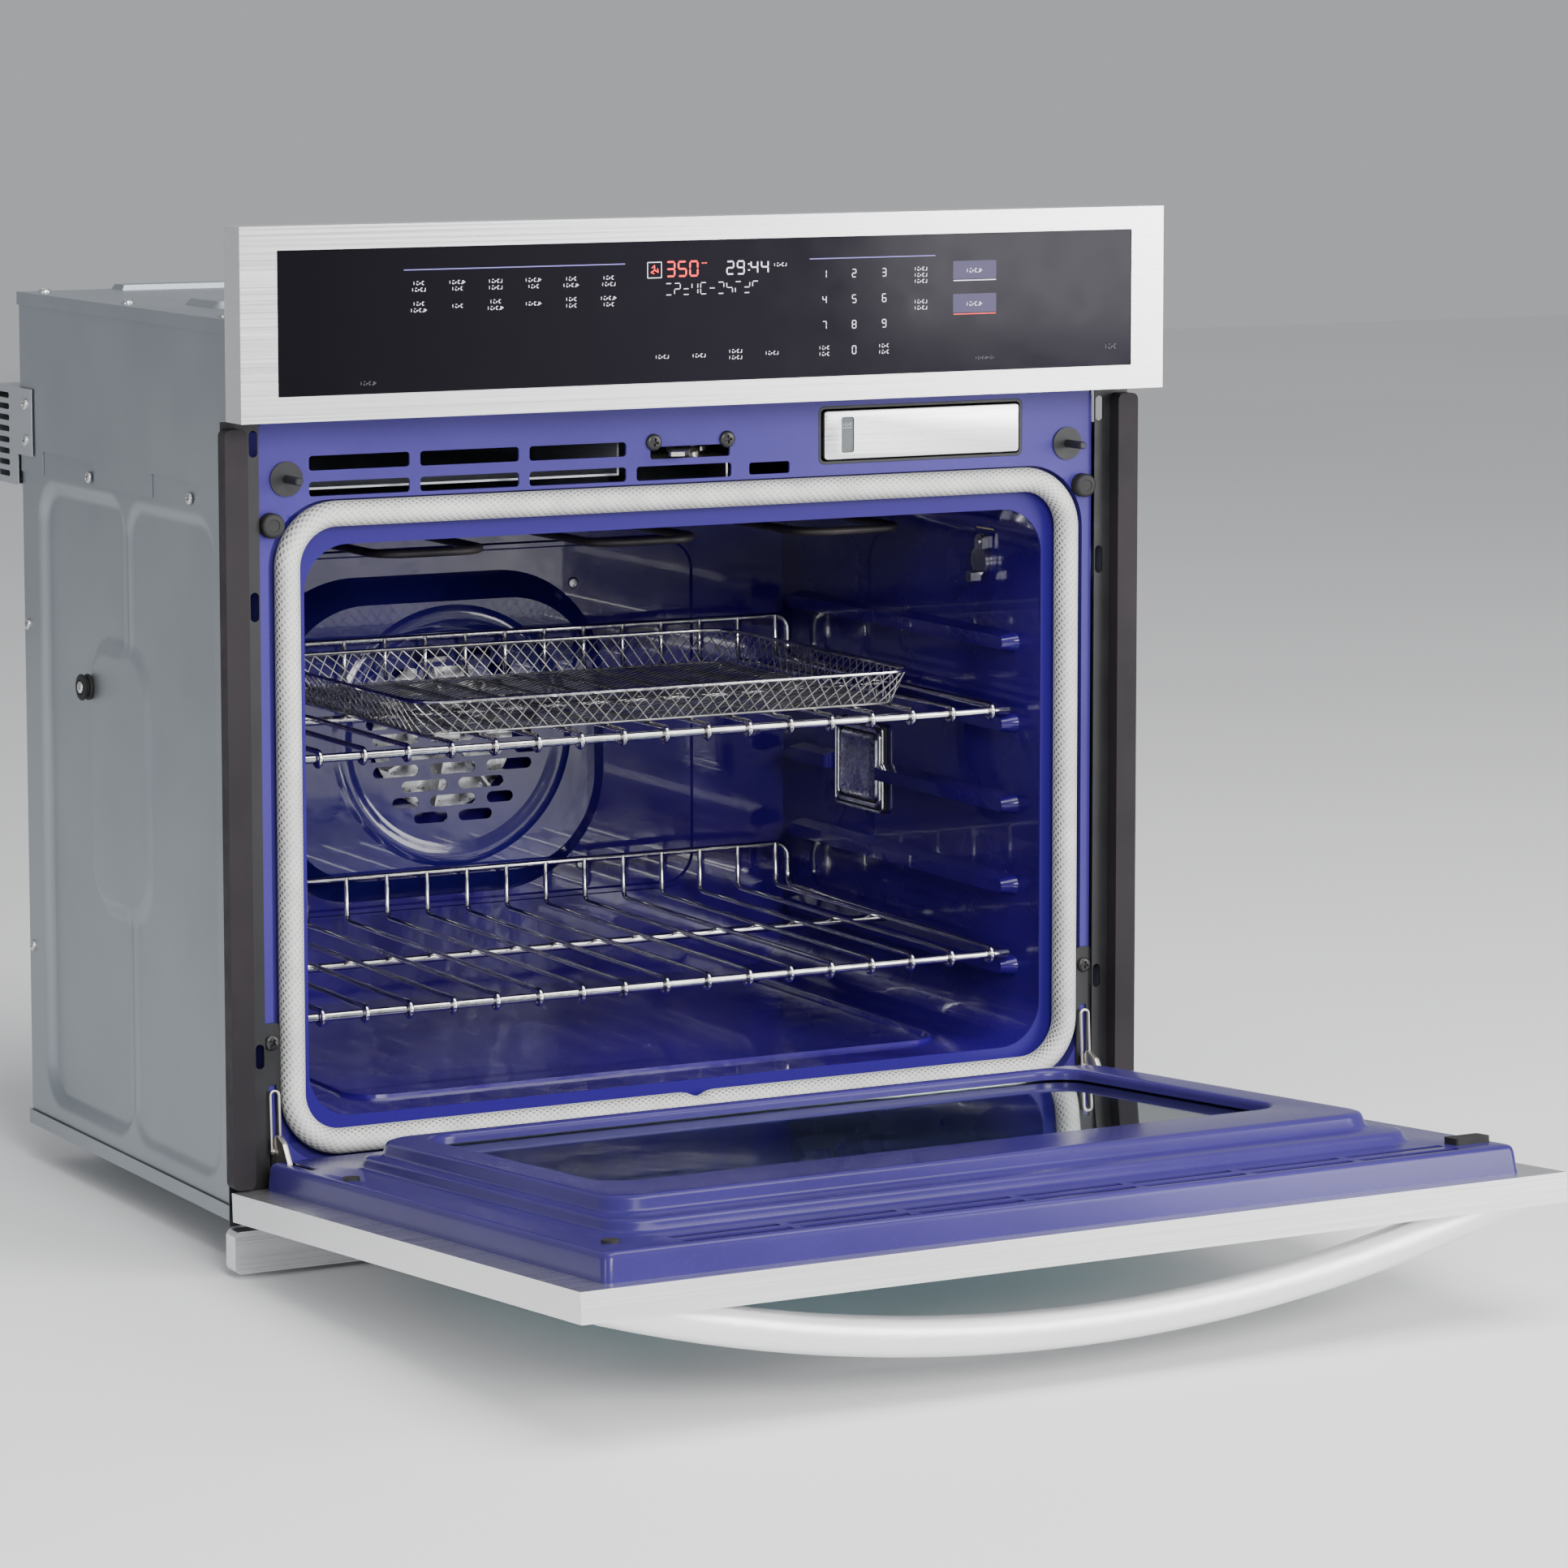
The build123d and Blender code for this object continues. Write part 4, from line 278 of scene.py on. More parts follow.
LOOK = {
    "panel_steel": brushed_steel("steel_panel", (0.93, 0.93, 0.94), (0.78, 0.78, 0.79)),
    "door_steel": brushed_steel("steel_door", (0.92, 0.92, 0.93), (0.76, 0.76, 0.77)),
    # the handle's brushed steel is paler than the door's: a painted highlight on the same steel
    "handle_steel": brushed_steel(
        "steel_handle", (0.97, 0.97, 0.97), (0.93, 0.93, 0.94), (6, 500, 500), (0.36, 0.46)
    ),
    "panel_glass": dark_glass("black_glass", (0.0055, 0.005, 0.007)),
    "frame_enamel": speckled_enamel(
        "violet_frame", (0.052, 0.034, 0.235), (0.038, 0.024, 0.185), (0.30, 0.27, 0.60), 0.36,
        mouth=(0.018, 0.004, 0.16),
    ),
    "door_enamel": speckled_enamel(
        "violet_door", (0.042, 0.029, 0.165), (0.027, 0.018, 0.115), (0.30, 0.27, 0.60), 0.22
    ),
    "cavity_enamel": cavity_enamel("deep_blue", (0.022, 0.003, 0.17), (0.011, 0.002, 0.085)),
    "cover_enamel": cavity_enamel("deep_blue_cover", (0.018, 0.007, 0.16), (0.008, 0.003, 0.08)),
    "galvanized": zinc_sheet("galvanized", (0.37, 0.40, 0.43), (0.26, 0.29, 0.32)),
    "duct_steel": zinc_sheet("duct_zinc", (0.52, 0.54, 0.57), (0.40, 0.42, 0.45)),
    "black_steel": satin("black_paint", (0.012, 0.012, 0.013), (0.02, 0.02, 0.022), 0.42),
    "trim_paint": satin(
        "trim_paint", (0.020, 0.017, 0.020), (0.026, 0.022, 0.025), 0.5, shine=0.14
    ),
    "gasket_braid": satin("braid_plain", (0.55, 0.55, 0.53), (0.4, 0.4, 0.38), 0.8, 1500),
    "rack_chrome": bright_wire("rack_chrome", (0.86, 0.85, 0.84), (0.62, 0.60, 0.58)),
    "basket_mesh": bright_wire("basket_wire", (0.50, 0.49, 0.47), (0.30, 0.29, 0.28), 0.38),
    "window_glass": clear_glass("window_glass", (0.80, 0.95, 0.96)),
    "outer_glass": clear_glass("outer_glass", (0.42, 0.52, 0.56)),
    "lamp_glass": bright_wire("lamp_glass", (0.88, 0.88, 0.86), (0.5, 0.5, 0.48), 0.25),
    "black_rubber": satin("black_rubber", (0.010, 0.010, 0.010), (0.02, 0.02, 0.02), 0.65, 1500),
    "zinc": zinc_sheet("zinc_plate", (0.62, 0.60, 0.55), (0.45, 0.43, 0.39), (0.25, 0.4), 1.0),
    "screw_steel": zinc_sheet("screw_zinc", (0.70, 0.70, 0.70), (0.5, 0.5, 0.5), (0.2, 0.35), 1.0),
    "screw_black": satin("screw_black", (0.010, 0.010, 0.011), (0.03, 0.03, 0.03), 0.3, 1500),
    "wool": wool("mineral_wool"),
    "element": satin("heater_sheath", (0.020, 0.018, 0.020), (0.06, 0.05, 0.05), 0.5, 600, 0.6),
    "board": satin("circuit_board", (0.01, 0.10, 0.045), (0.02, 0.14, 0.06), 0.4, 300),
    "black_plastic": satin("black_plastic", (0.014, 0.014, 0.016), (0.024, 0.024, 0.026), 0.4),
    "tank_plastic": satin("tank_plastic", (0.03, 0.03, 0.035), (0.05, 0.05, 0.055), 0.3),
    "fan_metal": bright_wire("fan_metal", (0.62, 0.62, 0.62), (0.4, 0.4, 0.41), 0.3),
    "motor_metal": satin("motor_paint", (0.10, 0.10, 0.105), (0.16, 0.16, 0.165), 0.4, 500, 0.5),
    "sensor_steel": bright_wire("sensor_steel", (0.80, 0.80, 0.80), (0.6, 0.6, 0.6), 0.18),
}

for entry in frame["record"]["subparts"]:
    mesh = NODES[entry["node"]].data
    mesh.materials.clear()
    mesh.materials.append(LOOK[entry["material_slot"]])


# --- mesh building ---------------------------------------------------------------
class Form:
    """Gathers the faces of one piece. Everything here is in millimetres."""

    def __init__(self, place=None):
        self.verts, self.faces = [], []
        self.place = place or Vector

    def ring(self, points):
        start = len(self.verts)
        self.verts += [self.place(p) for p in points]
        return list(range(start, len(self.verts)))

    def bridge(self, a, b):
        count = len(a)
        for n in range(count):
            m = (n + 1) % count
            self.faces.append((a[n], a[m], b[m], b[n]))

    def loft(self, rings, capped=False):
        """A skin through the rings, with flat ends where capped."""
        made = [self.ring(r) for r in rings]
        for a, b in zip(made, made[1:]):
            self.bridge(a, b)
        if capped:
            self.faces.append(tuple(reversed(made[0])))
            self.faces.append(tuple(made[-1]))
        return made

    def tube(self, points, radius, sides=12, closed=False, lead=None):
        """A tube along points, with frames carried along so that it doesn't twist.

        radius is a number or a function of the point's index, and lead is where the first
        point of each ring faces.
        """
        points = [Vector(p) for p in points]
        count = len(points)
        normal = Vector(lead) if lead else None
        rings = []
        for n, p in enumerate(points):
            before = points[n - 1] if n or closed else points[0]
            after = points[(n + 1) % count] if n < count - 1 or closed else points[-1]
            along = (after - before).normalized()
            if normal is None:
                normal = along.orthogonal()
            normal = (normal - along * normal.dot(along)).normalized()
            across = along.cross(normal)
            width = radius(n) if callable(radius) else radius
            rings.append(circle(p, normal, across, width, sides))
        made = [self.ring(r) for r in rings]
        for a, b in zip(made, made[1:] + made[:1] if closed else made[1:]):
            self.bridge(b, a)
        if not closed:
            self.faces.append(tuple(made[0]))
            self.faces.append(tuple(reversed(made[-1])))

    def lathe(self, centre, axis, profile, sides=32):
        """Turns (radius, distance along the axis) pairs round an axis."""
        axis, centre = Vector(axis).normalized(), Vector(centre)
        side = axis.orthogonal().normalized()
        other = axis.cross(side)
        rings = []
        for radius, distance in profile:
            rings.append(circle(centre + axis * distance, side, other, radius, sides))
        self.loft(rings, capped=True)

    def prism(self, outline, to_point, low, high, bevel=0.0):
        """A flat outline given depth, its edges rounded off by bevel."""
        if not bevel:
            self.loft([[to_point(x, y, h) for x, y in outline] for h in (low, high)], capped=True)
            return
        inner = inset(outline, bevel)
        mid = inset(outline, bevel * 0.3)
        rows = (
            (inner, low), (mid, low + bevel * 0.3), (outline, low + bevel),
            (outline, high - bevel), (mid, high - bevel * 0.3), (inner, high),
        )
        self.loft([[to_point(x, y, h) for x, y in shape] for shape, h in rows], capped=True)


def circle(centre, side, other, radius, sides):
    """Points round a centre, from the direction side towards the direction other."""
    angles = (TURN * k / sides for k in range(sides))
    return [centre + side * (radius * math.cos(a)) + other * (radius * math.sin(a))
            for a in angles]


def inset(outline, amount):
    """Moves each side of a counter-clockwise outline inwards."""
    points = [Vector(p) for p in outline]
    moved = []
    for n, p in enumerate(points):
        a = (p - points[n - 1]).normalized()
        b = (points[(n + 1) % len(points)] - p).normalized()
        left = (Vector((-a.y, a.x)) + Vector((-b.y, b.x))).normalized()
        scale = 1 / max(0.35, left.dot(Vector((-a.y, a.x))))
        moved.append(tuple(p + left * amount * scale))
    return moved


def rounded(cx, cy, half_x, half_y, radius, steps=8):
    """A rounded rectangle's outline, counter-clockwise."""
    points = []
    for qx, qy, start in ((1, 1, 0), (-1, 1, 90), (-1, -1, 180), (1, -1, 270)):
        for n in range(steps + 1):
            a = math.radians(start + 90 * n / steps)
            points.append((
                cx + qx * (half_x - radius) + radius * math.cos(a),
                cy + qy * (half_y - radius) + radius * math.sin(a),
            ))
    return points


def bent_path(points, radius, steps=6, closed=False):
    """A path through straight runs whose corners are rounded to a radius."""
    points = [Vector(p) for p in points]
    count = len(points)
    result = [] if closed else [points[0]]
    for n in range(0 if closed else 1, count if closed else count - 1):
        p, a, b = points[n], points[n - 1], points[(n + 1) % count]
        to_a, to_b = (a - p).normalized(), (b - p).normalized()
        half = to_a.angle(to_b) / 2
        reach = min(radius / math.tan(half), (a - p).length * 0.49, (b - p).length * 0.49)
        size = reach * math.tan(half)
        centre = p + (to_a + to_b).normalized() * (size / math.sin(half))
        start, end = p + to_a * reach - centre, p + to_b * reach - centre
        turn = start.angle(end)
        for k in range(steps + 1):
            t = k / steps
            mixed = start * math.sin((1 - t) * turn) + end * math.sin(t * turn)
            result.append(centre + mixed / math.sin(turn))
    if not closed:
        result.append(points[-1])
    return result


def piece(name, form, body, slot, look=None, replaces=(), angle=35, outward=False):
    """Makes the object, smooth apart from its sharp edges, and fixes it to its body.

    angle is the sharpest bend, in degrees, that is still shaded smooth.
    """
    mesh = form_mesh(name, form)
    mesh.validate()
    if outward:
        turn_outward(mesh)
    shade(mesh, angle)
    mesh.materials.append(look or LOOK[slot])
    made = bpy.data.objects.new(name, mesh)
    bpy.context.collection.objects.link(made)
    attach(made, body)
    if replaces:
        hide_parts(*replaces)
    return made


def form_mesh(name, form):
    """The form's mesh, in metres."""
    mesh = bpy.data.meshes.new(name)
    mesh.from_pydata([tuple(v * MM) for v in form.verts], [], form.faces)
    return mesh


def turn_outward(mesh):
    """Turns the face normals outwards, which a mirrored frame leaves inside out."""
    shell = bmesh.new()
    shell.from_mesh(mesh)
    bmesh.ops.recalc_face_normals(shell, faces=shell.faces)
    shell.to_mesh(mesh)
    shell.free()


def shade(mesh, angle):
    for polygon in mesh.polygons:
        polygon.use_smooth = True
    mesh.update()
    mesh.set_sharp_from_angle(angle=math.radians(angle))


def bake(made, angle):
    """Replaces an object's mesh by the result of its modifiers."""
    graph = bpy.context.evaluated_depsgraph_get()
    mesh = bpy.data.meshes.new_from_object(made.evaluated_get(graph))
    made.modifiers.clear()
    made.data = mesh
    shade(mesh, angle)


def cut(made, cutter_form, angle=35):
    """Cuts the cutter's volume out of an object."""
    mesh = form_mesh("cutter", cutter_form)
    turn_outward(mesh)
    mesh.update()
    cutter = bpy.data.objects.new("cutter", mesh)
    bpy.context.collection.objects.link(cutter)
    change = made.modifiers.new("cut", "BOOLEAN")
    change.operation, change.solver, change.object = "DIFFERENCE", "EXACT", cutter
    bpy.context.view_layer.update()
    bake(made, angle)
    bpy.data.objects.remove(cutter)


def facing(y):
    """Places points on a plane at y: x, z and a height towards the room."""
    return lambda x, z, h: (x, y - h, z)


# --- the door's own axes ---------------------------------------------------------
LIFT = math.radians(4.52)
DOOR_CORNER_Y, DOOR_CORNER_Z = -12.94, 32.97


def door_at(x, along, height):
    """A point of the open door: along runs from the hinge edge, height above its outer face."""
    return (
        x,
        DOOR_CORNER_Y - along * math.cos(LIFT) + height * math.sin(LIFT),
        DOOR_CORNER_Z + along * math.sin(LIFT) + height * math.cos(LIFT),
    )


def on_door(point):
    return Vector(door_at(*point))


# --- screws ----------------------------------------------------------------------
def cross_ring(radius, width, sides):
    """Radius of a cross-shaped recess at each of the ring's angles."""
    ring = []
    for k in range(sides):
        a = TURN * k / sides
        along, across = abs(math.cos(a)), abs(math.sin(a))
        arms = []
        for u, v in ((along, across), (across, along)):
            arms.append(min(radius / max(u, 1e-6), width / max(v, 1e-6)))
        ring.append(max(arms))
    return ring


def add_screw(form, centre, axis, radius, height, turn=0.3):
    """A pan head with a cross recess."""
    sides = 40
    axis, centre = Vector(axis).normalized(), Vector(centre)
    side = axis.orthogonal().normalized()
    side.rotate(Matrix.Rotation(turn, 3, axis))
    other = axis.cross(side)

    def ring(radii, distance):
        points = []
        for k, r in enumerate(radii):
            a = TURN * k / sides
            points.append(centre + axis * distance + side * (r * math.cos(a))
                          + other * (r * math.sin(a)))
        return points

    dome = ((1, 0), (1, 0.35), (0.96, 0.6), (0.84, 0.85), (0.66, 0.97))
    rings = [ring([radius * width] * sides, height * level) for width, level in dome]
    cross = cross_ring(radius * 0.52, radius * 0.13, sides)
    rings.append(ring(cross, height))
    rings.append(ring([r * 0.8 for r in cross], height * 0.35))
    form.loft(rings, capped=True)


SIDE_SCREWS = (  # on the left side; the right side has the same
    (-354.8, 438, 395), (-354.8, 438, 142), (-356, 301, 520), (-356, 102, 520),
    (-358.3, 428, 567), (-358.3, 428, 539),
)
COVER_SCREWS = ((-150, 404), (112, 404), (118, 172), (-158, 172))


def screws():
    steel, black = Form(), Form()
    for n, (x, y, z) in enumerate(SIDE_SCREWS):
        for side in (1, -1):
            add_screw(steel, (x * side, y, z), (-side, 0, 0), 4.6, 2.4, n * 0.7)
    for n, y in enumerate((60, 248, 420)):
        for side in (1, -1):
            add_screw(steel, (344 * side, y, 653), (0, 0, 1), 5, 3, n)
    for n, (x, z) in enumerate(COVER_SCREWS):
        add_screw(steel, (x, 430, z), (0, -1, 0), 4.6, 2.4, n * 0.5)
    piece("steel_screw_heads", steel, "chassis", "screw_steel", replaces=["steel_screws"])
    for n, x in enumerate((-30.4, 30.4)):
        add_screw(black, (x, 3, 555), (0, -1, 0), 6.3, 2.8, 0.6 + n * 0.3)
    for n, x in enumerate((-339.5, 339.5)):
        add_screw(black, (x, 1.4, 136), (0, -1, 0), 5.7, 2.8, 0.2 + n * 0.5)
    piece("black_screw_heads", black, "chassis", "screw_black", replaces=["black_screws"])


# --- racks -----------------------------------------------------------------------
RACK_BAR, RACK_EDGE, RACK_WIRE = 3.25, 2.6, 2.0  # radii
RACK_FRONT, RACK_MIDDLE, RACK_BACK = 47.0, 238.0, 400.0
RACK_BAR_HALF, RACK_EDGE_X = 298, 294
RACK_WIRES, RACK_PITCH = 17, 35.2
RACK_RISE = 39


def rack(name, level):
    """A rack whose front bar has its centre at level; the wires curl round that bar."""
    form = Form()
    front, back = RACK_FRONT, RACK_BACK
    top, rail = level + RACK_BAR + RACK_WIRE - 0.2, level + RACK_RISE
    for y in (front, RACK_MIDDLE):
        form.tube([(-RACK_BAR_HALF, y, level), (RACK_BAR_HALF, y, level)], RACK_BAR, 14)
    side_run = ((front, level), (back, level + 4), (back, rail))
    edge = [(-RACK_EDGE_X, y, z) for y, z in side_run]
    edge += [(RACK_EDGE_X, y, z) for y, z in reversed(side_run)]
    form.tube(bent_path(edge, 12, 8), RACK_EDGE, 12)
    curl = RACK_BAR + RACK_WIRE + 0.1
    run = [(front - curl * math.sin(a), level + curl * math.cos(a))
           for a in map(math.radians, range(235, -1, -15))]
    run += [(front + 12, top), (back - 9, top), (back - 5, top + 1.2), (back - 2.4, top + 4.4)]
    run += [(back - 1.6, rail - 3), (back - 1.6, rail + 0.6)]
    for n in range(RACK_WIRES):
        x = (n - RACK_WIRES // 2) * RACK_PITCH
        form.tube([(x, y, z) for y, z in run], RACK_WIRE, 10, lead=(1, 0, 0))
    replaced = [name, name + "_backstop"]
    piece(name + "_wires", form, name, "rack_chrome", replaces=replaced, angle=60)


# --- basket ----------------------------------------------------------------------
BASKET_BOTTOM, BASKET_TOP = 339.4, 366.0
BASKET_X, BASKET_Y = 16.0, 221.0
BASKET_WALL_WIRES, BASKET_SLANT = 132, 2.1  # wires each way; how many gaps a wire leans
BASKET_FLOOR_HALF_X, BASKET_FLOOR_HALF_Y, BASKET_FLOOR_PITCH = 200.0, 149.0, 5.4


def around(outline, share):
    """The point at a share of the way round an outline."""
    points = [Vector(p) for p in outline]
    total = [0.0]
    for n, p in enumerate(points):
        total.append(total[-1] + (points[(n + 1) % len(points)] - p).length)
    goal = (share % 1.0) * total[-1]
    for n, p in enumerate(points):
        if total[n + 1] >= goal:
            part = (goal - total[n]) / max(total[n + 1] - total[n], 1e-9)
            return p.lerp(points[(n + 1) % len(points)], part)
    return points[0]


def basket():
    """Woven basket: slanting wires cross on the walls, a fine weave on the floor."""
    low = rounded(BASKET_X, BASKET_Y, 201, 150, 22, 10)
    high = rounded(BASKET_X, BASKET_Y, 210.5, 159.5, 26, 10)

    def wall(share, height):
        p = around(low, share).lerp(around(high, share), height)
        wall_height = BASKET_TOP - BASKET_BOTTOM - 1.6
        return Vector((p.x, p.y, BASKET_BOTTOM + 0.6 + wall_height * height))

    wires, rim, floor = Form(), Form(), Form()
    for n in range(BASKET_WALL_WIRES):
        for lean in (1, -1):
            path = [wall((n + lean * BASKET_SLANT * k / 4) / BASKET_WALL_WIRES, k / 4)
                    for k in range(5)]
            wires.tube(path, 0.45, 4)
    for height, size in ((0.0, 0.8), (0.97, 1.0)):
        wires.tube([wall(n / 160, height) for n in range(160)], size, 6, closed=True)
    piece("basket_walls", wires, "mesh_basket", "basket_mesh", replaces=["mesh_basket"])
    rim.tube([wall(n / 200, 1.0) for n in range(200)], 1.6, 10, closed=True)
    piece("basket_rim", rim, "mesh_basket", "basket_mesh", LOOK["rack_chrome"])
    half_x, half_y = BASKET_FLOOR_HALF_X, BASKET_FLOOR_HALF_Y
    reach, step = half_x + half_y, BASKET_FLOOR_PITCH * 1.414
    for lean in (1, -1):
        height = BASKET_BOTTOM + 0.5 + 0.3 * lean
        for n in range(int(2 * reach / step)):
            offset = -reach + n * step
            a, b = (Vector((x, lean * x + offset)) for x in (-half_x, half_x))
            ends = clip_line(a, b, half_x - 1, half_y - 1, 20)
            if ends and (ends[1] - ends[0]).length > 3:
                floor.tube([(BASKET_X + p.x, BASKET_Y + p.y, height) for p in ends], 0.28, 4)
    weave = bright_wire("basket_weave", (0.16, 0.16, 0.16), (0.06, 0.06, 0.06), 0.4)
    piece("basket_floor", floor, "mesh_basket", "basket_mesh", weave)


def clip_line(a, b, half_x, half_y, radius, steps=400):
    """The stretch of a line inside a rounded rectangle centred at zero."""
    inside = []
    for n in range(steps + 1):
        p = a.lerp(b, n / steps)
        dx, dy = abs(p.x) - (half_x - radius), abs(p.y) - (half_y - radius)
        if dx > radius or dy > radius:
            continue
        if dx > 0 and dy > 0 and math.hypot(dx, dy) > radius:
            continue
        inside.append(p)
    return (inside[0], inside[-1]) if len(inside) > 1 else None


# --- control panel marks ---------------------------------------------------------
MARK_HEIGHT = 0.12
LABEL_GAP = 0.9
# strokes of a character in a unit cell, by name; digits use the usual seven
SEGMENTS = {
    "a": ((0.12, 1.0), (0.88, 1.0)), "b": ((1.0, 0.9), (1.0, 0.58)),
    "c": ((1.0, 0.42), (1.0, 0.1)), "d": ((0.12, 0.0), (0.88, 0.0)),
    "e": ((0.0, 0.42), (0.0, 0.1)), "f": ((0.0, 0.9), (0.0, 0.58)),
    "g": ((0.12, 0.5), (0.88, 0.5)), "h": ((0.15, 0.9), (0.45, 0.6)),
    "k": ((0.85, 0.9), (0.55, 0.6)), "v": ((0.5, 0.9), (0.5, 0.1)),
}
DIGITS = {
    "0": "abcdef", "1": "bc", "2": "abged", "3": "abgcd", "4": "fgbc", "5": "afgcd",
    "6": "afgedc", "7": "abc", "8": "abcdefg", "9": "abcfgd",
}


class Marks:
    """Flat strokes that stand a hair proud of the glass."""

    def __init__(self, y):
        self.form = Form()
        self.y = y

    def stroke(self, a, b, width):
        a, b = Vector(a), Vector(b)
        along = (b - a).normalized()
        side = Vector((-along.y, along.x)) * (width / 2)
        tip = along * (width / 2)
        outline = [a - side, a - tip, a + side, b + side, b + tip, b - side]
        layers = [[(p.x, self.y - h, p.y) for p in outline] for h in (0, MARK_HEIGHT)]
        self.form.loft(layers, capped=True)

    def glyph(self, segments, x, z, width, height, weight):
        for key in segments:
            (ax, az), (bx, bz) = SEGMENTS[key]
            self.stroke(
                (x + ax * width, z + az * height), (x + bx * width, z + bz * height), weight
            )

    def bars(self, x, z, widths, height):
        """Generic key label: a short row of small upright and level strokes."""
        total = sum(widths) + LABEL_GAP * (len(widths) - 1)
        left = x - total / 2
        for n, width in enumerate(widths):
            segments = ("ef", "ade", "eg", "adef", "bcd", "fge")[n % 6]
            self.glyph(segments, left, z - height / 2, width, height, 0.42)
            left += width + LABEL_GAP

    def label(self, x, z, lines, count):
        """A key's label of one, two or three lines of small marks."""
        for lift in LABEL_LINES[lines]:
            self.bars(x, z + lift, [1.25] * count, 2.3)


PANEL_FACE_Y = -46.25
LABEL_LINES = {1: (0,), 2: (2.3, -2.3), 3: (4.6, 0, -4.6)}
FAN_MARK_X, FAN_MARK_Z, FAN_MARK_HALF = -54, 684, 5.6
START_KEY_X = 213


def key_labels(white):
    rng = random.Random(7)
    for x in (-240.6, -210.5, -180.7, -150.7, -120.8, -90.9):
        for z in (677.2, 662.6):
            for lift in LABEL_LINES[2 if rng.random() < 0.75 else 1]:
                count = rng.choice((4, 5, 6))
                white.bars(x, z + lift, [1.25] * count, 2.3)
    for x, lines in ((-48, 1), (-18, 1), (12, 2), (42, 1)):
        white.label(x, 621.2, lines, 5)
    pad = ("123", "456", "789", " 0 ")
    for row, z in zip(pad, (677.7, 658.9, 640.1, 621.3)):
        for text, x in zip(row, (85.7, 110.5, 135.8)):
            if text in DIGITS:
                white.glyph(DIGITS[text], x - 1.5, z - 2.8, 3.0, 5.6, 0.55)
            else:
                white.label(x, z, 2, 4)
    white.label(167, 675, 3, 5)
    white.label(167, 653, 2, 5)


def display(white, red):
    """Lit temperature, clock, text row and the framed fan sign."""
    for n, text in enumerate("350"):
        red.glyph(DIGITS[text], -44 + n * 9.4, 679.2, 6.2, 10.4, 1.35)
    for x in (-15.4, -13.0):
        red.stroke((x, 688.2), (x + 1.2, 688.2), 0.9)

    def fan_mark(u, v):
        return (FAN_MARK_X + u, FAN_MARK_Z + v)

    h = FAN_MARK_HALF
    corners = ((-h, -h), (h, -h), (h, h), (-h, h))
    for a, b in zip(corners, corners[1:] + corners[:1]):
        white.stroke(fan_mark(*a), fan_mark(*b), 0.5)
    for n in range(3):
        turn = math.radians(90 + 120 * n)
        far = fan_mark(3.3 * math.cos(turn), 3.3 * math.sin(turn))
        side = fan_mark(2.6 * math.cos(turn + 0.9), 2.6 * math.sin(turn + 0.9))
        red.stroke(fan_mark(0, 0), far, 0.8)
        red.stroke(far, side, 0.8)
    for n, text in enumerate("2944"):
        white.glyph(DIGITS[text], 5 + n * 8.6 + (2.6 if n > 1 else 0), 679.6, 5.4, 9.2, 1.0)
    for z in (682.2, 686.6):
        white.stroke((22.6, z), (23.4, z), 1.0)
    white.bars(49, 685.6, [1.2] * 5, 2.2)
    row = ("ad", "abge", "gd", "bcf", "efad", "g", "abd", "fgc", "ae", "dbg", "af")
    for n, segments in enumerate(row):
        white.glyph(segments, -45 + n * 7.1, 665.8, 4.7, 8.2, 0.55)


def control_marks():
    """Printed and lit marks of the panel. Words are stood in for by rows of small strokes."""
    white, violet, red, dim = (Marks(PANEL_FACE_Y) for _ in range(4))
    violet.stroke((-252, 689), (-78, 689), 0.7)
    violet.stroke((73.5, 689), (179, 689), 0.7)
    key_labels(white)
    display(white, red)
    for low, high, edge in ((670, 684.5, white), (645, 660, red)):
        edge.stroke((START_KEY_X - 18, low), (START_KEY_X + 18, low), 0.6)
        white.bars(START_KEY_X, (low + high) / 2, [1.4] * 6, 2.7)
    dim.bars(-280, 610, [1.2] * 6, 2.3)
    dim.bars(222, 612, [0.9] * 9, 1.7)
    dim.bars(332, 617, [1.6] * 4, 3.2)
    tint = Form()
    for low, high in ((671, 684.5), (646, 660)):
        key = rounded(START_KEY_X, (low + high) / 2, 18.5, (high - low) / 2, 0.6, 2)
        tint.prism(key, facing(PANEL_FACE_Y + 0.06), 0, 0.05)
    # every mark glows; the red digits and the display are lit, while the glow of the printed
    # labels, lines, dim marks and key tints is painted light
    for name, form, look, colour, strength in (
        ("panel_marks", white.form, "mark_white", (0.75, 0.75, 0.82), 0.8),
        ("panel_lines", violet.form, "mark_violet", (0.16, 0.13, 0.42), 0.5),
        ("panel_red", red.form, "mark_red", (0.85, 0.03, 0.02), 1.6),
        ("panel_dim", dim.form, "mark_dim", (0.09, 0.09, 0.11), 0.3),
        ("panel_keys", tint, "key_tint", (0.030, 0.022, 0.075), 0.25),
    ):
        piece(name, form, "chassis", "panel_glass", glow(look, colour, strength))


# --- drawer front ----------------------------------------------------------------
DRAWER_X, DRAWER_Z, LEVEL_WINDOW_X = 195.4, 554.4, 131.2


